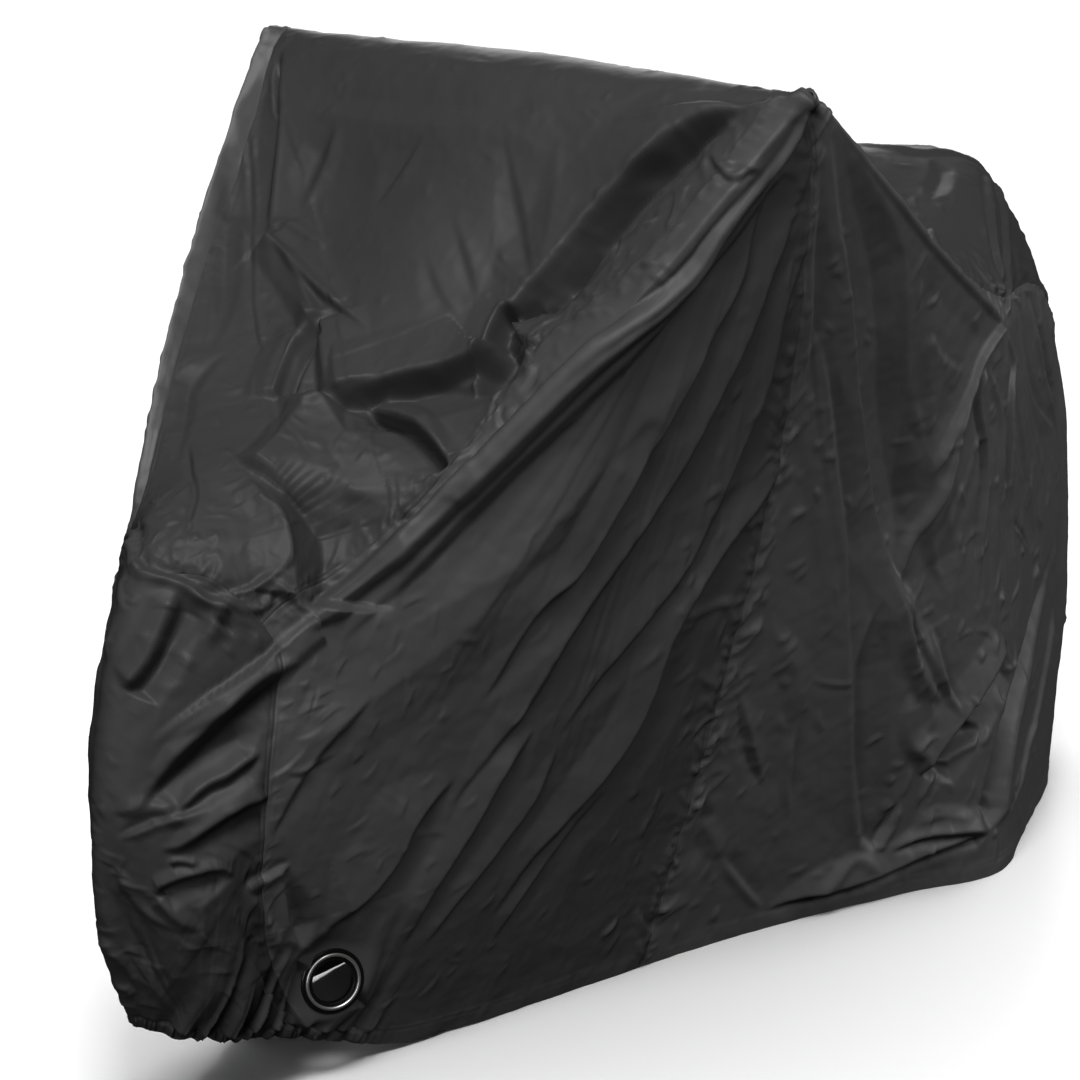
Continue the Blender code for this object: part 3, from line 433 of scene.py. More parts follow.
def shell_normals(sections, lines):
    """Outward normals of the shell at paired section and line numbers."""
    s0, s1 = (np.clip(sections + way * NORMAL_STEP, 0, LAST_SECTION) for way in (-1, 1))
    t0, t1 = (np.clip(lines + way * NORMAL_STEP, 0, LAST_LINE) for way in (-1, 1))
    along = shell(s1, lines) - shell(s0, lines)
    over = shell(sections, t1) - shell(sections, t0)
    return unit(np.cross(along, over))


def fade(t):
    """A smooth step from 0 to 1."""
    t = np.clip(t, 0, 1)
    return t * t * (3 - 2 * t)


def bowed(sections, lines):
    """Line numbers with the bow of the two long seams."""
    bow = BOW_HEIGHT * np.exp(-((sections - BOW_AT) / BOW_WIDTH) ** 2)
    return lines + bow * np.clip(1 - np.abs(lines - NEAR_SEAM) / BOW_REACH, 0, 1)


def fold_path(marks):
    """Points on the shell along a fold, through its marks, and the normals there."""
    marks = marks[None]
    count = marks.shape[1]
    step = np.ones((1, count - 1))
    slope = curve_slopes(marks, step) if count > 2 else np.diff(marks, axis=1).repeat(2, 1)
    at = np.linspace(0, count - 1, PATH_STEPS + 1)
    read = curve_read(marks, step, slope, np.zeros(len(at), int), at)
    return shell(read[:, 0], read[:, 1]), shell_normals(read[:, 0], read[:, 1])


FOLD_LINES = [(*fold_path(marks), profile, ends[0])
              for _, marks, profile, ends in table_rows(FOLDS)]


def fold_heights(base):
    """How far each point of the shell moves along its normal for the folds."""
    height = np.zeros(len(base))
    for line, normal, profile, (grow, die) in FOLD_LINES:
        reach = np.abs(profile[:, 0]).max() + CREASE[-1]
        low, high = line.min(0) - reach, line.max(0) + reach
        here = np.flatnonzero(np.all((base > low) & (base < high), axis=1))
        if not len(here):
            continue
        points = base[here]
        seg = np.diff(line, axis=0)
        length = np.linalg.norm(seg, axis=1)
        run = running(length)
        best = np.full(len(here), np.inf)
        along = np.zeros(len(here))
        side = np.zeros(len(here))
        for k in range(len(seg)):
            rel = points - line[k]
            t = np.clip(rel @ seg[k] / length[k] ** 2, 0, 1)
            rel -= t[:, None] * seg[k]
            away = np.linalg.norm(rel, axis=1)
            near = away < best
            best = np.where(near, away, best)
            along = np.where(near, (run[k] + t * length[k]) / run[-1], along)
            side = np.where(near, np.sign(rel @ np.cross(seg[k], normal[k])), side)
        share = np.clip(along / grow, 0, 1) * np.clip((1 - along) / die, 0, 1)
        taper = TAPER + (1 - TAPER) * share
        for shift in CREASE:
            at = (best * side + shift) / taper
            height[here] += share / len(CREASE) * np.interp(at, profile[:, 0], profile[:, 1])
    return height


def eyelet_frame(section, line, hand):
    """Middle of an eyelet, and its sideways, upward and outward directions."""
    mid = shell(np.array([section]), np.array([line]))[0]
    out = unit(np.array(FACING) * (1, hand, 1))
    side = unit(np.cross((0, 0, 1), out))
    return mid, side, np.cross(out, side), out


EYELET_FRAMES = {name: eyelet_frame(*place) for name, *place in EYELETS}


def draped(sections, lines):
    """The folded cloth's points and base normals, for 2-D arrays of numbers."""
    shape = sections.shape
    s, t = sections.ravel(), bowed(sections, lines).ravel()
    base = shell(s, t)
    normals = shell_normals(s, t)
    points = base + normals * fold_heights(base)[:, None]
    for mid, _, _, out in EYELET_FRAMES.values():
        rel = points - mid
        away = np.linalg.norm(rel, axis=-1)
        share = 1 - fade((away - FLAT_RADIUS) / (BLEND_RADIUS - FLAT_RADIUS))
        share = np.where(away < BLEND_RADIUS, share, 0)
        points -= share[:, None] * (rel @ out)[:, None] * out
    return points.reshape(shape + (3,)), normals.reshape(shape + (3,))


# ---------------------------------------------------------------- seams
# One row for each seam: the way it runs, the number it keeps, where it starts and ends,
# then the height, reach and pitch of its puckers in millimetres.
SEAMS = (
    ("nose seam",      "section", 3.0, 0.0, 10.0, 0.7, 12, 11),
    ("near long seam", "line",    3.3, 3.0, 14.0, 1.1, 11, 9),
    ("far long seam",  "line",    6.7, 3.0, 14.0, 0.35, 12, 11),
    ("near side seam", "section", 7.0, 0.0, 3.3,  1.6, 14, 10),
    ("far side seam",  "section", 7.0, 6.7, 10.0, 0.9, 15, 9),
)
SEAM_REACH = 70.0  # how far from a seam it is felt, mm
SEAM_SAMPLES, SEEDS_A_SEAM = 900, 10
# The puckers swell along a seam: their mean share, its swing and the swing's length in mm.
SWELL_MEAN, SWELL_SWING, SWELL_LENGTH = 0.75, 0.45, 60
SLANT, SLANT_LENGTH = 0.5, 90  # how much they slant, and over how many mm
# Broad puckers go further than the fine ones: shares of the height, pitch and reach.
BROAD_HEIGHT, BROAD_PITCH, BROAD_REACH = 0.8, 2.3, 2.4
# Cross-sections beside a seam or a hem: height, distance from it and half width, in mm.
SEAM_ROLL, SEAM_STITCHES = (0.5, 2.4, 1.8), (-0.7, 5.2, 1.3)
ROLL_MEAN, ROLL_SWING = 0.7, 0.6  # how their height varies with the puckers

# ---------------------------------------------------------------- hems
HEM_REACH = 110.0  # how far from a hem it is felt, mm
HEM_SAMPLES = (1400, 260, 1400, 240)  # near side, nose, far side and tail
HEM_BAND = 20.0  # turned-up hem, mm
ELASTIC_BAND = 15.0  # channel of the gathered hem, mm
ELASTIC_END, ELASTIC_FADE = 3.35, 0.7  # sections over which the gathering dies out
HEM_SEED = 71
CREST, CREST_POWER = 2.4, 0.8  # how sharp the gathered pleats' crests are
# Height of the pleats in the channel, their pitch, and the width over which they start.
PLEAT_HEIGHT, PLEAT_PITCH, PLEAT_START = 3.0, 5.2, 3
BAND_BLEND = 4  # over which the channel goes over into the cloth
EDGE_TUCK, EDGE_WIDTH = 1.6, 4  # how far the lowest edge turns in
CHANNEL_CALM = 0.7  # how much of the waves above it the channel lacks
CHANNEL_GROOVE = (-1.9, ELASTIC_BAND, 2.2)
# Waves along a hem: height, pitch and reach above it, in mm.
SOFT_WAVES, BROAD_WAVES = (4.0, 8.5, 14), (8.5, 17, 46)
RIPPLES, SWAY = (0.7, 9, 9), (1.2, 34, 30)
BROAD_SLANT = 0.25
FOLD_HEIGHT, FOLD_EDGE = 0.9, 2.5  # step at the top of the turned-up cloth
STITCH_INSET = 2  # from the top of the turned-up cloth, mm
HEM_STITCHES = (-0.7, HEM_BAND - STITCH_INSET, 1.6)

# Numbers drawn for one uneven line, and how unevenly its slopes are spaced.
WAVE_COUNT, SLOPE_COUNT, SLOPE_SHIFT = 4096, 512, 0.7
LUMP_SHIFT = 31.7  # from one seed's lumps to the next one's


def noise_line(x, seed):
    """Smooth uneven waves along a line, one to a unit, from -1 to 1."""
    values = np.random.RandomState(seed).uniform(-1, 1, WAVE_COUNT)
    k = np.floor(x).astype(int)
    f = fade(x - k)
    return values[k % WAVE_COUNT] * (1 - f) + values[(k + 1) % WAVE_COUNT] * f


def facet_line(x, seed):
    """Uneven straight slopes along a line, about one to a unit, from -1 to 1."""
    chance = np.random.RandomState(seed)
    values = chance.uniform(-1, 1, SLOPE_COUNT)
    knots = np.arange(SLOPE_COUNT) + chance.uniform(0, SLOPE_SHIFT, SLOPE_COUNT)
    return np.interp(x % (SLOPE_COUNT - 1), knots, values)


def noise_field(points, size, seed):
    """Smooth uneven lumps of a size in millimetres, from about -1 to 1."""
    places = points / size + LUMP_SHIFT * (seed + 1)
    return np.array([noise.noise(place) for place in places.tolist()])


def line_tree(line):
    """A line's samples, ready for a search."""
    tree = KDTree(len(line))
    for k, point in enumerate(line):
        tree.insert(point, k)
    tree.balance()
    return tree


def beside(points, line, tree, reach):
    """For each point: distance from a line, the way along it, and its nearest sample."""
    run = running(steps_of(line))
    low, high = line.min(0) - reach, line.max(0) + reach
    off = np.full(len(points), np.inf)
    way = np.zeros(len(points))
    near = np.zeros(len(points), int)
    here = np.flatnonzero(np.all((points > low) & (points < high), axis=1))
    found = np.array([tree.find(p)[1] for p in points[here].tolist()], int)
    near[here] = found
    for step in (-1, 0):
        k = np.clip(found + step, 0, len(line) - 2)
        seg = line[k + 1] - line[k]
        long = np.maximum((seg * seg).sum(1), TINY)
        rel = points[here] - line[k]
        t = np.clip((rel * seg).sum(1) / long, 0, 1)
        away = np.linalg.norm(rel - t[:, None] * seg, axis=1)
        better = away < off[here]
        off[here] = np.where(better, away, off[here])
        way[here] = np.where(better, run[k] + t * np.sqrt(long), way[here])
    return off, way, near


def seam_rows():
    """Each seam's points, the normals there, its tree and its puckers."""
    rows = []
    for _, way, keep, start, end, *puckers in SEAMS:
        free = np.linspace(start, end, SEAM_SAMPLES)[None]
        held = np.full_like(free, keep)
        line, up = draped(*((held, free) if way == "section" else (free, held)))
        rows.append((line[0], up[0], line_tree(line[0]), puckers))
    return rows


def hem_line():
    """The whole hem as one loop, and how gathered it is at each sample."""
    near, nose, far, tail = HEM_SAMPLES
    sections = np.concatenate((np.linspace(LAST_SECTION, 0, near), np.zeros(nose),
                               np.linspace(0, LAST_SECTION, far), np.full(tail, LAST_SECTION)))
    lines = np.concatenate((np.zeros(near), np.linspace(0, LAST_LINE, nose),
                            np.full(far, LAST_LINE), np.linspace(LAST_LINE, 0, tail)))
    gathered = 1 - fade((sections - ELASTIC_END) / ELASTIC_FADE)
    return draped(sections[None], lines[None])[0][0], gathered


SEAM_ROWS = seam_rows()
HEM_LINE, HEM_GATHERED = hem_line()
HEM_TREE = line_tree(HEM_LINE)


def ridge(off, height, at, half):
    """A round ridge beside a seam or a hem."""
    return height * np.exp(-((off - at) / half) ** 2)


def seam_heights(points):
    """Heights of the seams' puckers."""
    height = np.zeros(len(points))
    for number, (line, _, tree, (rise, reach, pitch)) in enumerate(SEAM_ROWS):
        off, way, _ = beside(points, line, tree, SEAM_REACH)
        here = off < SEAM_REACH
        d, x = off[here], way[here]
        seed = SEEDS_A_SEAM * number
        swell = SWELL_MEAN + SWELL_SWING * noise_line(x / SWELL_LENGTH, seed + 1)
        slant = SLANT * noise_line(x / SLANT_LENGTH, seed + 2)
        fine = facet_line(x / pitch, seed + 3)
        broad = facet_line((x + slant * d) / (BROAD_PITCH * pitch), seed + 4)
        wave = fine * np.exp(-d / reach) + BROAD_HEIGHT * broad * np.exp(-d / (BROAD_REACH * reach))
        roll = ridge(d, *SEAM_ROLL) + ridge(d, *SEAM_STITCHES)
        height[here] += rise * swell * wave + roll * (ROLL_MEAN + ROLL_SWING * fine)
    return height


def hem_waves(way, off, wave, seed):
    """Uneven waves along a hem that die out away from it."""
    height, pitch, reach = wave
    return height * noise_line(way / pitch, seed) * np.exp(-off / reach)


def crests(x, seed, power=1):
    """Uneven pleats with sharp crests along a line, about one to a unit."""
    return 1 - CREST * np.abs(noise_line(x, seed)) ** power


def hem_heights(points):
    """Heights of the gathered and of the plain hem."""
    off, way, near = beside(points, HEM_LINE, HEM_TREE, HEM_REACH)
    off = np.minimum(off, HEM_REACH)
    gathered = HEM_GATHERED[near]
    above = np.maximum(off - ELASTIC_BAND, 0)
    band = 1 - fade((off - ELASTIC_BAND + BAND_BLEND / 2) / BAND_BLEND)
    pleats = PLEAT_HEIGHT * crests(way / PLEAT_PITCH, HEM_SEED, CREST_POWER)
    channel = pleats * band * fade(off / PLEAT_START) - EDGE_TUCK * (1 - fade(off / EDGE_WIDTH))
    height, pitch, reach = BROAD_WAVES
    broad = height * crests((way + BROAD_SLANT * off) / pitch, HEM_SEED + 2) * np.exp(-above / reach)
    fanned = hem_waves(way, above, SOFT_WAVES, HEM_SEED + 1) + broad
    elastic = channel + ridge(off, *CHANNEL_GROOVE) + fanned * (1 - CHANNEL_CALM * band)
    fold = FOLD_HEIGHT * (1 - fade((off - HEM_BAND) / FOLD_EDGE)) + ridge(off, *HEM_STITCHES)
    ripple = hem_waves(way, np.abs(off - HEM_STITCHES[1]), RIPPLES, HEM_SEED + 3)
    plain = fold + ripple + hem_waves(way, off, SWAY, HEM_SEED + 4)
    return gathered * elastic + (1 - gathered) * plain


# ---------------------------------------------------------------- small wrinkles
# Uneven lumps: size in mm, height in mm, whether they are creased rather than round.
CRINKLES = ((150.0, 1.2, False), (52.0, 0.25, True), (19.0, 0.22, True))
CRINKLE_CREST = 3
# Flat facets with sharp edges between them: size in mm and height in mm.
FACETS = ((90.0, 2.2), (36.0, 0.6))
FACET_BEND, BEND_SIZE, FACET_SEED = 0.35, 1.3, 20  # shares of a facet's size; first seed
FACET_MIDDLE = 0.5  # of the usual difference between a facet's middle and its edge
# Pleats that spread from a point: its section and line, a mark in the middle direction,
# half the spread and the pitch in degrees, where they start, are highest and end in mm,
# and their height.
FANS = (
    ("near shoulder", (7.02, 3.00), (4.9, 1.5), 34, 4.0, 30, 420, 1150, 2.6),
    ("near shoulder down", (7.05, 3.00), (7.3, 0.5), 22, 5.0, 60, 420, 1000, 2.4),
    ("tip", (10.00, 3.05), (9.4, 1.2), 34, 7.0, 60, 300, 620, 3.0),
    ("tip rear", (10.00, 3.05), (11.2, 1.0), 30, 6.0, 40, 200, 560, 5.0),
    ("far shoulder side", (7.00, 7.00), (5.0, 8.4), 34, 7.0, 60, 400, 1000, 7.0),
    ("far shoulder rear", (7.00, 7.00), (8.6, 8.6), 34, 7.0, 60, 400, 1000, 7.0),
    ("nose low", (0.00, 1.30), (1.3, 2.2), 40, 9.0, 20, 110, 300, 4.0),
    ("nose front", (0.00, 4.30), (1.6, 4.0), 44, 9.0, 20, 120, 330, 4.0),
)
FAN_SEEDS = (200, 260, 290, 320, 350)
# How far off its plane a fan is felt: share of the distance from its point, and the
# least distance in mm that counts.
FAN_DEPTH, FAN_DEPTH_FROM = 0.45, 150
FAN_BEND, FAN_BEND_LENGTH = 1.1, 210  # degrees, and the mm over which they turn
FAN_ZERO = 90  # degrees, so that all angles are above 0
FINE_HEIGHT, FINE_BEND, FINE_PITCH = 0.35, 1.3, 0.37  # the finer pleats', as shares
PATCH_MEAN, PATCH_SWING, PATCH_LENGTH, PATCH_SPREAD = 0.8, 0.3, 180, 9
FAN_SIDES = 0.35  # share of the spread over which a fan's sides end
# Short straight creases.  First beside each seam: how many to a metre, the least and the
# most of their length, height and width in millimetres, and their usual angle from it.
SEAM_WRINKLES = (
    (150, (8, 24), (0.5, 1.2), (2.4, 4.4), 64),
    (50, (22, 64), (0.9, 2.2), (4.0, 9.0), 42),
)
SEAM_LEAN_SPREAD = 14  # degrees
BARE_ENDS = 2  # samples at each end of a seam without short creases
# Then over areas: sections, lines, how many, length, height, width, and the angle from the
# way along the cover with its spread, in degrees.
AREA_WRINKLES = (
    ("near front", (3.2, 7.0), (0.1, 2.6), 110, (14, 44), (0.4, 1.2), (3.0, 6.0), 25, 22),
    ("beside the side seam", (6.5, 7.6), (0.1, 2.6), 90, (12, 40), (0.8, 2.2), (3.0, 6.0), 35, 35),
    ("front face", (5.2, 6.9), (4.1, 6.2), 40, (10, 34), (0.3, 0.9), (3.0, 6.0), 40, 70),
    ("between roll and groove", (5.4, 6.7), (3.0, 3.9), 80, (10, 34), (0.9, 2.4), (3.0, 6.0), 15, 60),
    ("bib slope", (3.2, 5.0), (3.3, 6.2), 50, (12, 40), (0.5, 1.3), (3.0, 7.0), 30, 70),
    ("brow", (2.6, 3.5), (3.2, 6.4), 60, (12, 44), (0.6, 2.0), (3.0, 8.0), 20, 60),
    ("nose", (0.3, 2.9), (0.6, 5.6), 80, (14, 52), (0.4, 1.3), (3.0, 8.0), 55, 40),
    ("near rear", (7.4, 10.0), (0.2, 2.8), 70, (14, 46), (0.6, 1.6), (3.0, 7.0), 80, 60),
    ("rear corner", (8.6, 11.6), (0.1, 2.8), 110, (14, 50), (0.8, 2.4), (3.0, 7.0), 80, 40),
    ("hump", (9.3, 11.6), (3.1, 5.6), 80, (14, 50), (0.6, 1.8), (3.0, 8.0), 60, 50),
    ("ridge", (6.6, 7.6), (3.4, 6.7), 50, (10, 34), (0.5, 1.4), (3.0, 6.0), 30, 70),
    ("far edge", (3.4, 6.9), (5.9, 7.2), 40, (12, 44), (0.4, 1.1), (3.0, 6.0), 20, 50),
    ("far side", (3.0, 12.0), (7.0, 9.8), 200, (16, 60), (0.5, 1.6), (4.0, 9.0), 60, 60),
    ("dip", (7.3, 9.4), (3.4, 6.6), 60, (14, 50), (0.8, 2.0), (4.0, 8.0), 40, 60),
    ("tail", (11.0, 13.8), (1.0, 9.0), 120, (14, 50), (0.8, 2.2), (4.0, 8.0), 70, 50),
)
WRINKLE_SEED = 11
WRINKLE_GAIN = 1.5  # all short creases, higher than their rows say
STEEP_FLANK, SLACK_FLANK = 0.7, 2.2  # widths of a crease's two sides, as shares
WRINKLE_BEND, WRINKLE_ROUND = 0.08, 0.5  # bow as a share of length; rounding, mm squared
WRINKLE_DEPTH = 20  # how far off its plane a crease is felt, mm


def some(chance, span, count):
    """Numbers drawn from a span."""
    return chance.uniform(span[0], span[1], count)


def wrinkle_rows():
    """Every short crease: middle, its direction, across it, normal, length, height, width."""
    chance = np.random.RandomState(WRINKLE_SEED)
    rows = []

    def keep(mid, ahead, normal, length, rise, width):
        ahead = unit(ahead - (ahead * normal).sum(1)[:, None] * normal)
        across = np.cross(ahead, normal)
        flip = chance.choice((-1.0, 1.0), len(mid))
        rows.append((mid, ahead, across * flip[:, None], normal, length, rise, width))

    for line, ups, _, (pucker, _, _) in SEAM_ROWS:
        long = steps_of(line).sum() * MM
        tangent = unit(np.gradient(line, axis=0))
        for per_metre, lengths, rises, widths, lean in SEAM_WRINKLES:
            count = int(per_metre * long)
            k = chance.randint(BARE_ENDS, len(line) - BARE_ENDS, count)
            length = some(chance, lengths, count)
            up = ups[k]
            outward = np.cross(tangent[k], up) * chance.choice((-1.0, 1.0), count)[:, None]
            angle = np.radians(lean + chance.normal(0, SEAM_LEAN_SPREAD, count))[:, None]
            ahead = tangent[k] * np.cos(angle) + outward * np.sin(angle)
            mid = line[k] + ahead * (length / 2)[:, None] + outward
            rise = pucker * some(chance, rises, count)
            keep(mid, ahead, up, length, rise, some(chance, widths, count))
    for _, sections, lines, count, lengths, rises, widths, lean, spread in AREA_WRINKLES:
        s, t = some(chance, sections, count), some(chance, lines, count)
        mid, normal = draped(s[None], t[None])
        along = unit(shell(s + ALONG_STEP, t) - shell(s - ALONG_STEP, t))
        over = np.cross(normal[0], along)
        angle = np.radians(lean + chance.normal(0, spread, count))[:, None]
        ahead = along * np.cos(angle) + over * np.sin(angle)
        keep(mid[0], ahead, normal[0], some(chance, lengths, count), some(chance, rises, count),
             some(chance, widths, count))
    return [np.concatenate(column) for column in zip(*rows)]


WRINKLES = wrinkle_rows()


def wrinkle_heights(points):
    """Short straight creases, steep on one side."""
    height = np.zeros(len(points))
    x = points[:, 0]
    order = np.argsort(x)
    sorted_x = x[order]
    for mid, ahead, across, normal, length, rise, width in zip(*WRINKLES):
        reach = length / 2 + 2 * width
        low, high = np.searchsorted(sorted_x, (mid[0] - reach, mid[0] + reach))
        near = order[low:high]
        rel = points[near] - mid
        close = (np.abs(rel[:, 1]) < reach) & (np.abs(rel[:, 2]) < reach)
        near, rel = near[close], rel[close]
        u = rel @ ahead / (length / 2)
        d = rel @ across + WRINKLE_BEND * length * u * u
        flank = np.where(d < 0, STEEP_FLANK, SLACK_FLANK) * width
        fall = 1 - np.sqrt(d * d + WRINKLE_ROUND) / flank
        deep = np.exp(-((rel @ normal) / WRINKLE_DEPTH) ** 2)
        height[near] += WRINKLE_GAIN * rise * np.clip(1 - u * u, 0, 1) * deep * np.maximum(fall, 0)
    return height


def facet_heights(points):
    """Flat facets, highest where three cells of an uneven net meet."""
    height = np.zeros(len(points))
    for seed, (size, rise) in enumerate(FACETS):
        bend = noise_field(points, size * BEND_SIZE, seed + FACET_SEED)[:, None] * FACET_BEND * size
        places = ((points + bend) / size).tolist()
        near = np.array([noise.voronoi(place)[0][:2] for place in places])
        height += rise * (FACET_MIDDLE - (near[:, 1] - near[:, 0]))
    return height


def fan_heights(points):
    """Pleats that spread out from points where the cloth hangs."""
    height = np.zeros(len(points))
    for number, (_, start, toward, spread, pitch, near, top, far, rise) in enumerate(FANS):
        ends = np.array((start, toward))
        hub, mark = shell(ends[:, 0], ends[:, 1])
        between = ends.mean(0, keepdims=True)
        out = shell_normals(between[:, 0], between[:, 1])[0]
        ahead = unit(mark - hub)
        right = unit(np.cross(ahead, out))
        rel = points - hub
        away = np.linalg.norm(rel, axis=1)
        turn = np.degrees(np.arctan2(rel @ right, rel @ ahead))
        here = (np.abs(turn) < spread) & (away > near) & (away < far)
        here &= np.abs(rel @ out) < FAN_DEPTH * np.maximum(away, FAN_DEPTH_FROM)
        d, angle = away[here], turn[here]
        seeds = [first + number for first in FAN_SEEDS]
        bend = FAN_BEND * noise_line(d / FAN_BEND_LENGTH, seeds[0])
        crest = facet_line((angle + bend + FAN_ZERO) / pitch, seeds[1])
        fine = (angle + FINE_BEND * bend + FAN_ZERO) / (FINE_PITCH * pitch)
        crest += FINE_HEIGHT * facet_line(fine, seeds[2])
        uneven = PATCH_SPREAD * noise_line(angle / (2 * pitch), seeds[3])
        patchy = PATCH_MEAN + PATCH_SWING * noise_line(d / PATCH_LENGTH + uneven, seeds[4])
        share = fade((d - near) / (top - near)) * fade((far - d) / (far - top))
        sides = fade((spread - np.abs(angle)) / (FAN_SIDES * spread))
        height[here] += rise * crest * patchy * share * sides
    return height


def crinkle_heights(points):
    """Uneven lumps, creases, facets and spread pleats of the whole cloth."""
    height = facet_heights(points) + fan_heights(points) + wrinkle_heights(points)
    for seed, (size, rise, creased) in enumerate(CRINKLES):
        lump = noise_field(points, size, seed)
        height += rise * (1 - CRINKLE_CREST * np.abs(lump) if creased else lump)
    return height


# ---------------------------------------------------------------- materials
THREAD = 1.5708  # mm; drawn coarser than the real 0.3 mm, to show
WAVE_TURN = 20  # a wave texture's own factor, in radians
THREAD_UNEVEN = 0.4
CREASE_SIZE = 26.3158  # mm, of the finest creases
THREAD_RELIEF, CREASE_RELIEF = 0.3, 1.0  # mm


def linear(code):
    """An sRGB hex colour as linear values."""
    values = [int(code[k:k + 2], 16) / 255 for k in (0, 2, 4)]
    return tuple(c / 12.92 if c <= 0.04045 else ((c + 0.055) / 1.055) ** 2.4 for c in values)


def new_material(name, colour, rough, metal=0.0):
    """A plain material and its shader."""
    m = bpy.data.materials.new(name)
    m.use_nodes = True
    b = m.node_tree.nodes["Principled BSDF"]
    b.inputs["Base Color"].default_value = (*linear(colour), 1)
    b.inputs["Roughness"].default_value = rough
    b.inputs["Metallic"].default_value = metal
    return m, b


def node(m, kind, settings=None, **inputs):
    """A node with its settings, and its inputs as values or as other nodes' outputs."""
    n = m.node_tree.nodes.new(kind)
    for key, value in (settings or {}).items():
        setattr(n, key, value)
    for key, value in inputs.items():
        socket = n.inputs[int(key[1:])] if key[0] == "i" and key[1:].isdigit() else n.inputs[key]
        if isinstance(value, bpy.types.NodeSocket):
            m.node_tree.links.new(value, socket)
        else:
            socket.default_value = value
    return n


def cloth_material():
    """Charcoal polyester with a thin coating: a satin plain weave with fine creases."""
    m, b = new_material("charcoal_coated_polyester", "3A3A3A", 0.50)
    b.inputs["IOR"].default_value = 1.28  # a thin soft coating reflects less than solid plastic
    uv = node(m, "ShaderNodeUVMap", {"uv_map": "weave"}).outputs[0]
    scale = 2 * math.pi / (WAVE_TURN * THREAD * MM)
    warp, weft = (node(m, "ShaderNodeTexWave", {"wave_type": "BANDS", "bands_direction": way},
                       Vector=uv, Scale=scale, Distortion=THREAD_UNEVEN).outputs["Fac"]
                  for way in "XY")
    weave = node(m, "ShaderNodeMath", {"operation": "MULTIPLY"}, i0=warp, i1=weft).outputs[0]
    place = node(m, "ShaderNodeTexCoord").outputs["Object"]
    crease = node(m, "ShaderNodeTexNoise", {"noise_type": "RIDGED_MULTIFRACTAL"}, Vector=place,
                  Scale=1 / (CREASE_SIZE * MM), Detail=4.0, Roughness=0.5).outputs["Fac"]
    fine = node(m, "ShaderNodeBump", None, Strength=0.25, Distance=THREAD_RELIEF * MM,
                Height=weave)
    wide = node(m, "ShaderNodeBump", None, Strength=0.5, Distance=CREASE_RELIEF * MM,
                Height=crease, Normal=fine.outputs[0])
    m.node_tree.links.new(wide.outputs[0], b.inputs["Normal"])
    return m


def floor_material():
    """White studio board with a faint gloss."""
    m, b = new_material("white_studio_board", "F4F4F4", 0.28)
    b.inputs["Specular IOR Level"].default_value = 0.35
    return m


CLOTH = cloth_material()
# Moulded black nylon, which has a soft gloss, and a nickelled ring, bright but not a mirror.
PLASTIC, _ = new_material("black_gloss_plastic", "0B0B0C", 0.30)
METAL, _ = new_material("bright_nickel", "F2F2F0", 0.40, 1.0)


def finished(name, bm):
    """A mesh from a worked bmesh."""
    mesh = bpy.data.meshes.new(name)
    bm.to_mesh(mesh)
    bm.free()
    return mesh


def placed(name, data):
    """A new object in the scene."""
    thing = bpy.data.objects.new(name, data)
    bpy.context.collection.objects.link(thing)
    return thing


# ---------------------------------------------------------------- pieces
# One row for each panel: nodes that it stands for, its sections, its lines, the spacing of
# its grid along each in mm as (number, spacing), and the flat cut as width, length, area.
PANELS = (
    ("nose_cap", ("nose_panel",), (0, 3), (0, 10),
     ((0, 1.7), (3, 1.9)), ((0, 1.8), (6.2, 1.9), (7, 3.0), (10, 3.6)),
     (0.66, 0.56, 0.197)),
    ("top_length", ("top_panel",), (3, 14), (3.3, 6.7),
     ((3, 2.9), (7, 3.0), (7.3, 12.0), (9, 12.0), (9.4, 4.4), (10.6, 6.0), (11, 14.0), (14, 16.0)),
     ((3.3, 2.4), (4.2, 3.2), (6.4, 3.6), (6.7, 3.0)),
     (0.82, 2.4, 1.142)),
    ("near_front", ("near_front_side", "near_lock_strip"), (3, 7), (0, 3.3),
     ((3, 2.3), (6.6, 2.6), (7, 2.2)), ((0, 2.3), (2.2, 2.6), (3.3, 2.1)),
     (0.86, 1.15, 0.562)),
    ("near_rear", ("near_rear_side",), (7, 14), (0, 3.3),
     ((7, 2.4), (10.4, 3.0), (11.2, 6.0), (14, 9.0)), ((0, 2.6), (3.0, 3.0), (3.3, 2.6)),
     (1.26, 1.15, 0.845)),
    ("far_front", ("far_front_side", "far_lock_strip"), (3, 7), (6.7, 10),
     ((3, 4.0), (7, 5.0)), ((6.7, 3.0), (7.4, 4.4), (10, 5.6)),
     (0.86, 1.15, 0.596)),
    ("far_rear", ("far_rear_side",), (7, 14), (6.7, 10),
     ((7, 5.0), (10, 6.0), (14, 8.0)), ((6.7, 4.4), (7.4, 5.6), (10, 5.6)),
     (1.26, 1.15, 0.837)),
)
SPACING_SAMPLES = 1200
HOLE_BLOCK = 39.0  # half the block that a round eyelet patch fills, mm
HOLE_RINGS = 7
PLACE_DIGITS = 4  # of a millimetre, to tell two points apart
LOWEST = 1.9  # of the cloth above the tables' zero height, mm


def spaced(marks, along, other):
    """Numbers along a panel, a table's spacing apart on the shell."""
    at = np.linspace(marks[0][0], marks[-1][0], SPACING_SAMPLES)
    held = np.full(SPACING_SAMPLES, other)
    line = shell(at, held) if along == "sections" else shell(held, at)
    gap = np.interp((at[1:] + at[:-1]) / 2, *zip(*marks))
    count = running(steps_of(line) / gap)
    return np.interp(np.linspace(0, count[-1], int(count[-1]) + 1), count, at)


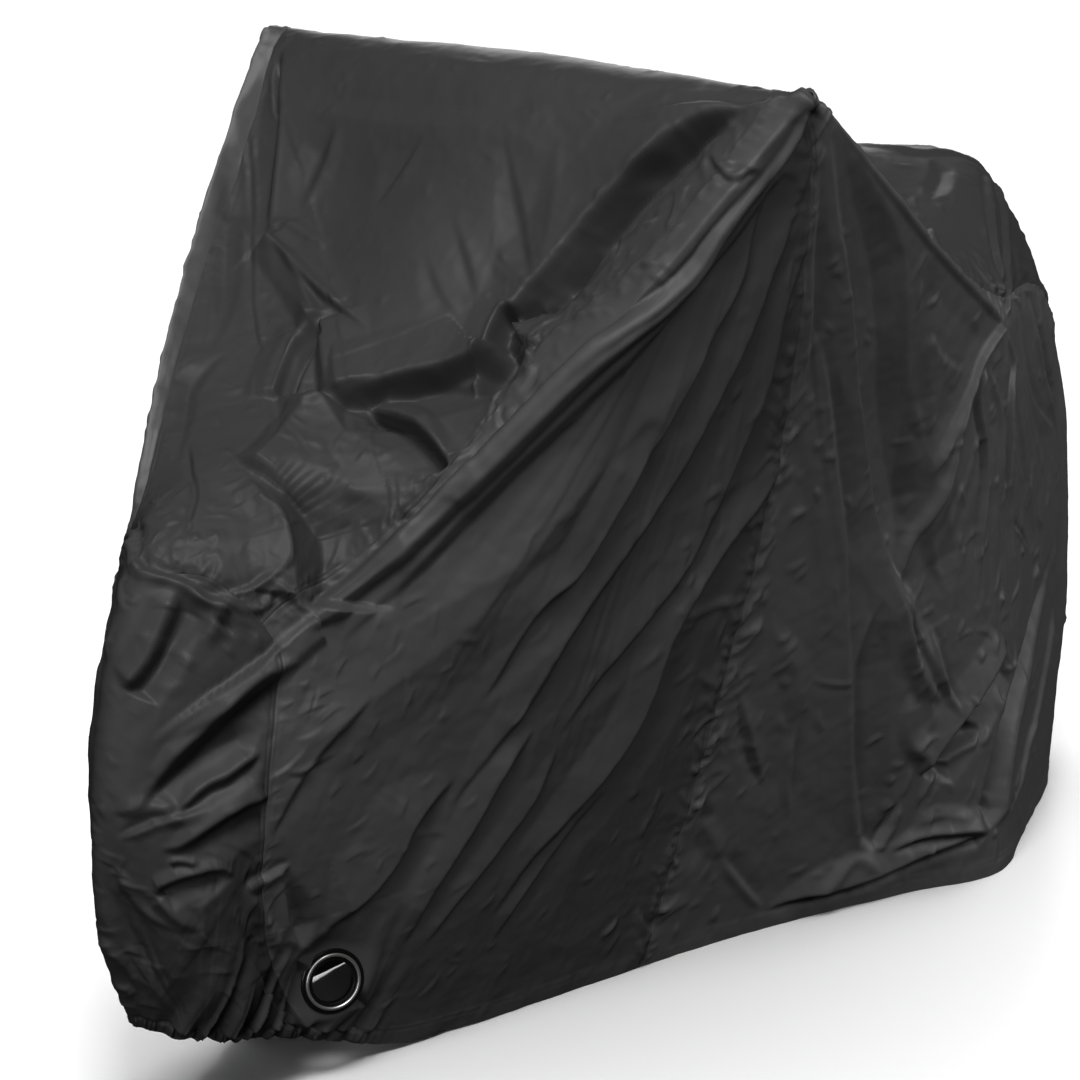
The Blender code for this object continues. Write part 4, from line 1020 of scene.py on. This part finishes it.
def hole_block(points, mid):
    """The block of grid rows and columns that an eyelet's patch fills."""
    away = np.linalg.norm(points - mid, axis=-1)
    i, j = np.unravel_index(np.argmin(away), away.shape)
    rows = np.flatnonzero(away[:, j] < HOLE_BLOCK)
    columns = np.flatnonzero(away[i, :] < HOLE_BLOCK)
    return rows.min(), rows.max(), columns.min(), columns.max()


def place_key(vert):
    """A vertex's place as a key."""
    return tuple(round(c, PLACE_DIGITS) for c in vert.co)


def patch_hole(bm, mark, points, frame):
    """Cut a block out of the grid and fill it with rings up to a round hole."""
    mid, side, up, _ = frame
    i0, i1, j0, j1 = hole_block(points, mid)
    columns = points.shape[1]

    def held(vert):
        i, j = divmod(vert[mark], columns)
        return i0 <= i <= i1 and j0 <= j <= j1

    cut = [f for f in bm.faces if all(held(v) for v in f.verts)]
    bmesh.ops.delete(bm, geom=cut, context="FACES")
    edges = [e for e in bm.edges if e.is_boundary and all(held(v) for v in e.verts)]
    source = {v: v for e in edges for v in e.verts}
    start = {v: np.array(v.co) for v in source}
    target = {}
    for v, place in start.items():
        x, y = (place - mid) @ side, (place - mid) @ up
        target[v] = mid + (side * x + up * y) * (HOLE_RADIUS / math.hypot(x, y))
    for ring in range(1, HOLE_RINGS + 1):
        made = bmesh.ops.extrude_edge_only(bm, edges=edges)["geom"]
        old = {place_key(v): first for v, first in source.items()}
        source = {v: old[place_key(v)] for v in made if isinstance(v, bmesh.types.BMVert)}
        share = ring / HOLE_RINGS
        for v, first in source.items():
            v.co = start[first] * (1 - share) + target[first] * share
            v[mark] = -1
        edges = [e for e in made if isinstance(e, bmesh.types.BMEdge) and all(v in source for v in e.verts)]


def mean_run(points, axis):
    """Mean length along a grid from its first row or column."""
    return running(np.linalg.norm(np.diff(points, axis=axis), axis=-1).mean(1 - axis))


def panel(name, nodes, sections, lines, section_marks, line_marks, cut):
    """One cut of cloth with its folds, puckers, hem and crinkles."""
    s = spaced(section_marks, "sections", sum(lines) / 2)
    t = spaced(line_marks, "lines", sum(sections) / 2)
    grid_s, grid_t = np.meshgrid(s, t, indexing="ij")
    points, normals = draped(grid_s, grid_t)
    rows, columns = points.shape[:2]

    bm = bmesh.new()
    bmesh.ops.create_grid(bm, x_segments=rows - 1, y_segments=columns - 1, size=1)
    mark = bm.verts.layers.int.new("mark")
    for vert in bm.verts:
        i = round((vert.co.x + 1) / 2 * (rows - 1))
        j = round((vert.co.y + 1) / 2 * (columns - 1))
        vert[mark] = i * columns + j
        vert.co = points[i, j]
    frame = None
    for side, section, line, _ in EYELETS:
        if sections[0] < section < sections[1] and lines[0] < line < lines[1]:
            frame = EYELET_FRAMES[side]
            patch_hole(bm, mark, points, frame)
    loose = [v for v in bm.verts if not v.link_faces]
    bmesh.ops.delete(bm, geom=loose, context="VERTS")
    number = np.array([v[mark] for v in bm.verts])
    bm.verts.layers.int.remove(mark)
    mesh = finished(name, bm)

    place = np.array([v.co[:] for v in mesh.vertices])
    normal = normals.reshape(-1, 3)[np.maximum(number, 0)]
    if frame:
        normal[number < 0] = frame[3]
    height = seam_heights(place) + hem_heights(place) + crinkle_heights(place)
    calm = np.ones(len(place))
    for mid, _, _, _ in EYELET_FRAMES.values():
        away = np.linalg.norm(place - mid, axis=1)
        calm = np.minimum(calm, fade((away - FLAT_RADIUS) / CALM_WIDTH))
    place += normal * (height * calm)[:, None]
    place[:, 2] = np.maximum(place[:, 2], LOWEST)
    mesh.vertices.foreach_set("co", ((place - ORIGIN) * MM).ravel())

    run_s = np.interp(grid_s, s, mean_run(points, 0))
    run_t = np.interp(grid_t, t, mean_run(points, 1))
    weave = np.stack((run_s.ravel(), run_t.ravel()), axis=1)[np.maximum(number, 0)] * MM
    if frame:
        mid, side, up, _ = frame
        rel = place[number < 0] - mid
        weave[number < 0] = np.stack((rel @ side, rel @ up), axis=1) * MM
    uv = mesh.uv_layers.new(name="weave")
    corners = np.zeros(len(mesh.loops), int)
    mesh.loops.foreach_get("vertex_index", corners)
    uv.data.foreach_set("uv", weave[corners].ravel())

    mesh.update()
    middle = mesh.polygons[len(mesh.polygons) // 2]
    if np.array(middle.normal) @ normal[middle.vertices[0]] < 0:
        mesh.flip_normals()
    mesh.shade_smooth()
    mesh.materials.append(CLOTH)
    thing = placed(name, mesh)
    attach(thing, "root")
    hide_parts(*nodes)


# The eyelet's section, as (radius, height over the cloth) in millimetres.
GROMMET = (
    (24.6, 0.8), (24.9, 2.1), (26.2, 2.8), (27.1, 2.6), (27.4, 2.2), (32.4, 2.2), (32.8, 2.7),
    (33.4, 3.0), (35.2, 2.9), (36.8, 2.3), (37.8, 1.3), (38.0, 0.6), (37.6, 0.3), (27.7, 0.3),
    (27.7, -2.3), (34.4, -2.3), (35.0, -2.9), (34.8, -3.8), (33.8, -4.3), (25.6, -4.6),
    (24.8, -4.2), (24.6, -3.4),
)
RING_RADIUS, RING_HALF, RING_LOW, RING_RISE = 31.2, 2.0, 2.5, 2.2
RING_WALL, RING_FLAT = 0.2, 0.8  # its upright edge in mm; under 1 flattens its top
ARC_STEPS, TURN_STEPS = 10, 96
MERGE = 1e-6  # metres
SHARP_ANGLE = math.radians(40)


def ring_profile():
    """A low half-round section."""
    turns = [math.pi * k / ARC_STEPS for k in range(ARC_STEPS + 1)]
    arc = [(RING_RADIUS + RING_HALF * math.cos(a),
            RING_LOW + RING_WALL + RING_RISE * math.sin(a) ** RING_FLAT) for a in turns]
    return [(RING_RADIUS + RING_HALF, RING_LOW)] + arc + [(RING_RADIUS - RING_HALF, RING_LOW)]


def turned(name, cad_node, frame, profile, look):
    """A ring turned about the eyelet's axis."""
    mid, side, _, out = frame
    bm = bmesh.new()
    verts = [bm.verts.new((mid + side * r + out * h - ORIGIN) * MM) for r, h in profile]
    edges = [bm.edges.new((verts[k - 1], verts[k])) for k in range(len(verts))]
    bmesh.ops.spin(bm, geom=verts + edges, cent=Vector((mid - ORIGIN) * MM), axis=Vector(out),
                   angle=2 * math.pi, steps=TURN_STEPS, use_merge=True, use_duplicate=False)
    bmesh.ops.remove_doubles(bm, verts=bm.verts, dist=MERGE)
    bmesh.ops.recalc_face_normals(bm, faces=bm.faces)
    mesh = finished(name, bm)
    mesh.shade_smooth()
    mesh.set_sharp_from_angle(angle=SHARP_ANGLE)
    mesh.materials.append(look)
    thing = placed(name, mesh)
    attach(thing, "root")
    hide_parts(cad_node)


# ---------------------------------------------------------------- stage
CAMERA_PLACE = (-3.8339, -3.105, 1.8264)
CAMERA_YAW, CAMERA_PITCH = 40.08, 15.30
FOCAL_PIXELS, PHOTO_PIXELS, SENSOR = 4186.0, 1080.0, 36.0
CAMERA_REACH = 100  # metres
FLOOR_SIZE = 60.0
# One row for each softbox: the way to it round the cover and up in degrees, how far it
# stands, its width and height in metres, its power in watts, and the pieces it is flagged
# to light alone, if not all.
SOFTBOXES = (
    (217, 60, 4.5, 1.6, 1.6, 150.0, ()),
    (203, 40, 4.5, 1.5, 1.5, 22.0, ()),
    (195, 6, 4.5, 1.5, 1.5, 28.0, ()),
    (245, 38, 4.5, 1.5, 1.5, 78.0, ("near_front", "near_rear")),
    (315, 20, 4.5, 1.5, 1.5, 16.0, ("near_front",)),
    (315, 20, 4.5, 1.5, 1.5, 60.0, ("near_rear", "top_length")),
    (315, 20, 4.5, 1.5, 1.5, 36.0, ("near_rear",)),
    (105, 40, 4.5, 1.8, 1.8, 130.0, ("far_front", "far_rear", "far_eyelet", "far_eyelet_ring")),
    (40, 20, 4.5, 1.8, 1.8, 45.0, ("far_front", "far_rear", "top_length")),
)
AIM = (-0.1, 0.0, 0.5)  # what the softboxes point at
SKY = 0.03  # brightness of the room round it
# A lamp of its own lights the board: place, size in metres and power in watts.
BOARD_LAMP = ((6.4, 5.2, 6.5), 16.0, 2000.0)


def direction(around, up):
    """The way to something round and up, in degrees."""
    around, up = math.radians(around), math.radians(up)
    return Vector((math.cos(around) * math.cos(up), math.sin(around) * math.cos(up), math.sin(up)))


def lamp(name, place, width, height, power, only):
    """A soft lamp that points down and lights only the named pieces, or all if there are none."""
    light = bpy.data.lights.new(name, "AREA")
    light.shape = "RECTANGLE"
    light.size, light.size_y = width, height
    light.energy = power
    thing = placed(name, light)
    thing.location = place
    if only:
        lit = bpy.data.collections.new(name + "_lit")
        for piece in only:
            lit.objects.link(bpy.data.objects[piece])
        thing.light_linking.receiver_collection = lit
    return thing


def stage():
    """The board, the lamps, the room and the camera."""
    bm = bmesh.new()
    bmesh.ops.create_grid(bm, x_segments=1, y_segments=1, size=FLOOR_SIZE / 2)
    floor = placed("floor", finished("floor", bm))
    floor.data.materials.append(floor_material())
    floor.visible_diffuse = floor.visible_glossy = False
    place, size, power = BOARD_LAMP
    lamp("board_lamp", place, size, size, power, ("floor",))
    for number, (around, up, away, width, height, power, only) in enumerate(SOFTBOXES):
        out = direction(around, up)
        thing = lamp(f"softbox_{number}", Vector(AIM) + out * away, width, height, power, only)
        thing.rotation_euler = (-out).to_track_quat("-Z", "Y").to_euler()
    world = bpy.data.worlds.new("studio")
    world.use_nodes = True
    background = world.node_tree.nodes["Background"]
    background.inputs["Color"].default_value = (1, 1, 1, 1)
    background.inputs["Strength"].default_value = SKY
    bpy.context.scene.world = world
    bpy.context.scene.view_settings.view_transform = "Standard"
    camera = bpy.data.cameras.new("camera")
    camera.sensor_width = SENSOR
    camera.lens = FOCAL_PIXELS / PHOTO_PIXELS * SENSOR
    camera.clip_end = CAMERA_REACH
    thing = placed("camera", camera)
    thing.location = CAMERA_PLACE
    thing.rotation_euler = direction(CAMERA_YAW, -CAMERA_PITCH).to_track_quat("-Z", "Y").to_euler()
    bpy.context.scene.camera = thing


for row in PANELS:
    panel(*row)
for side, frame_there in EYELET_FRAMES.items():
    turned(f"{side}_eyelet", f"{side}_lock_grommet", frame_there, GROMMET, PLASTIC)
    turned(f"{side}_eyelet_ring", f"{side}_lock_ring", frame_there, ring_profile(), METAL)
stage()
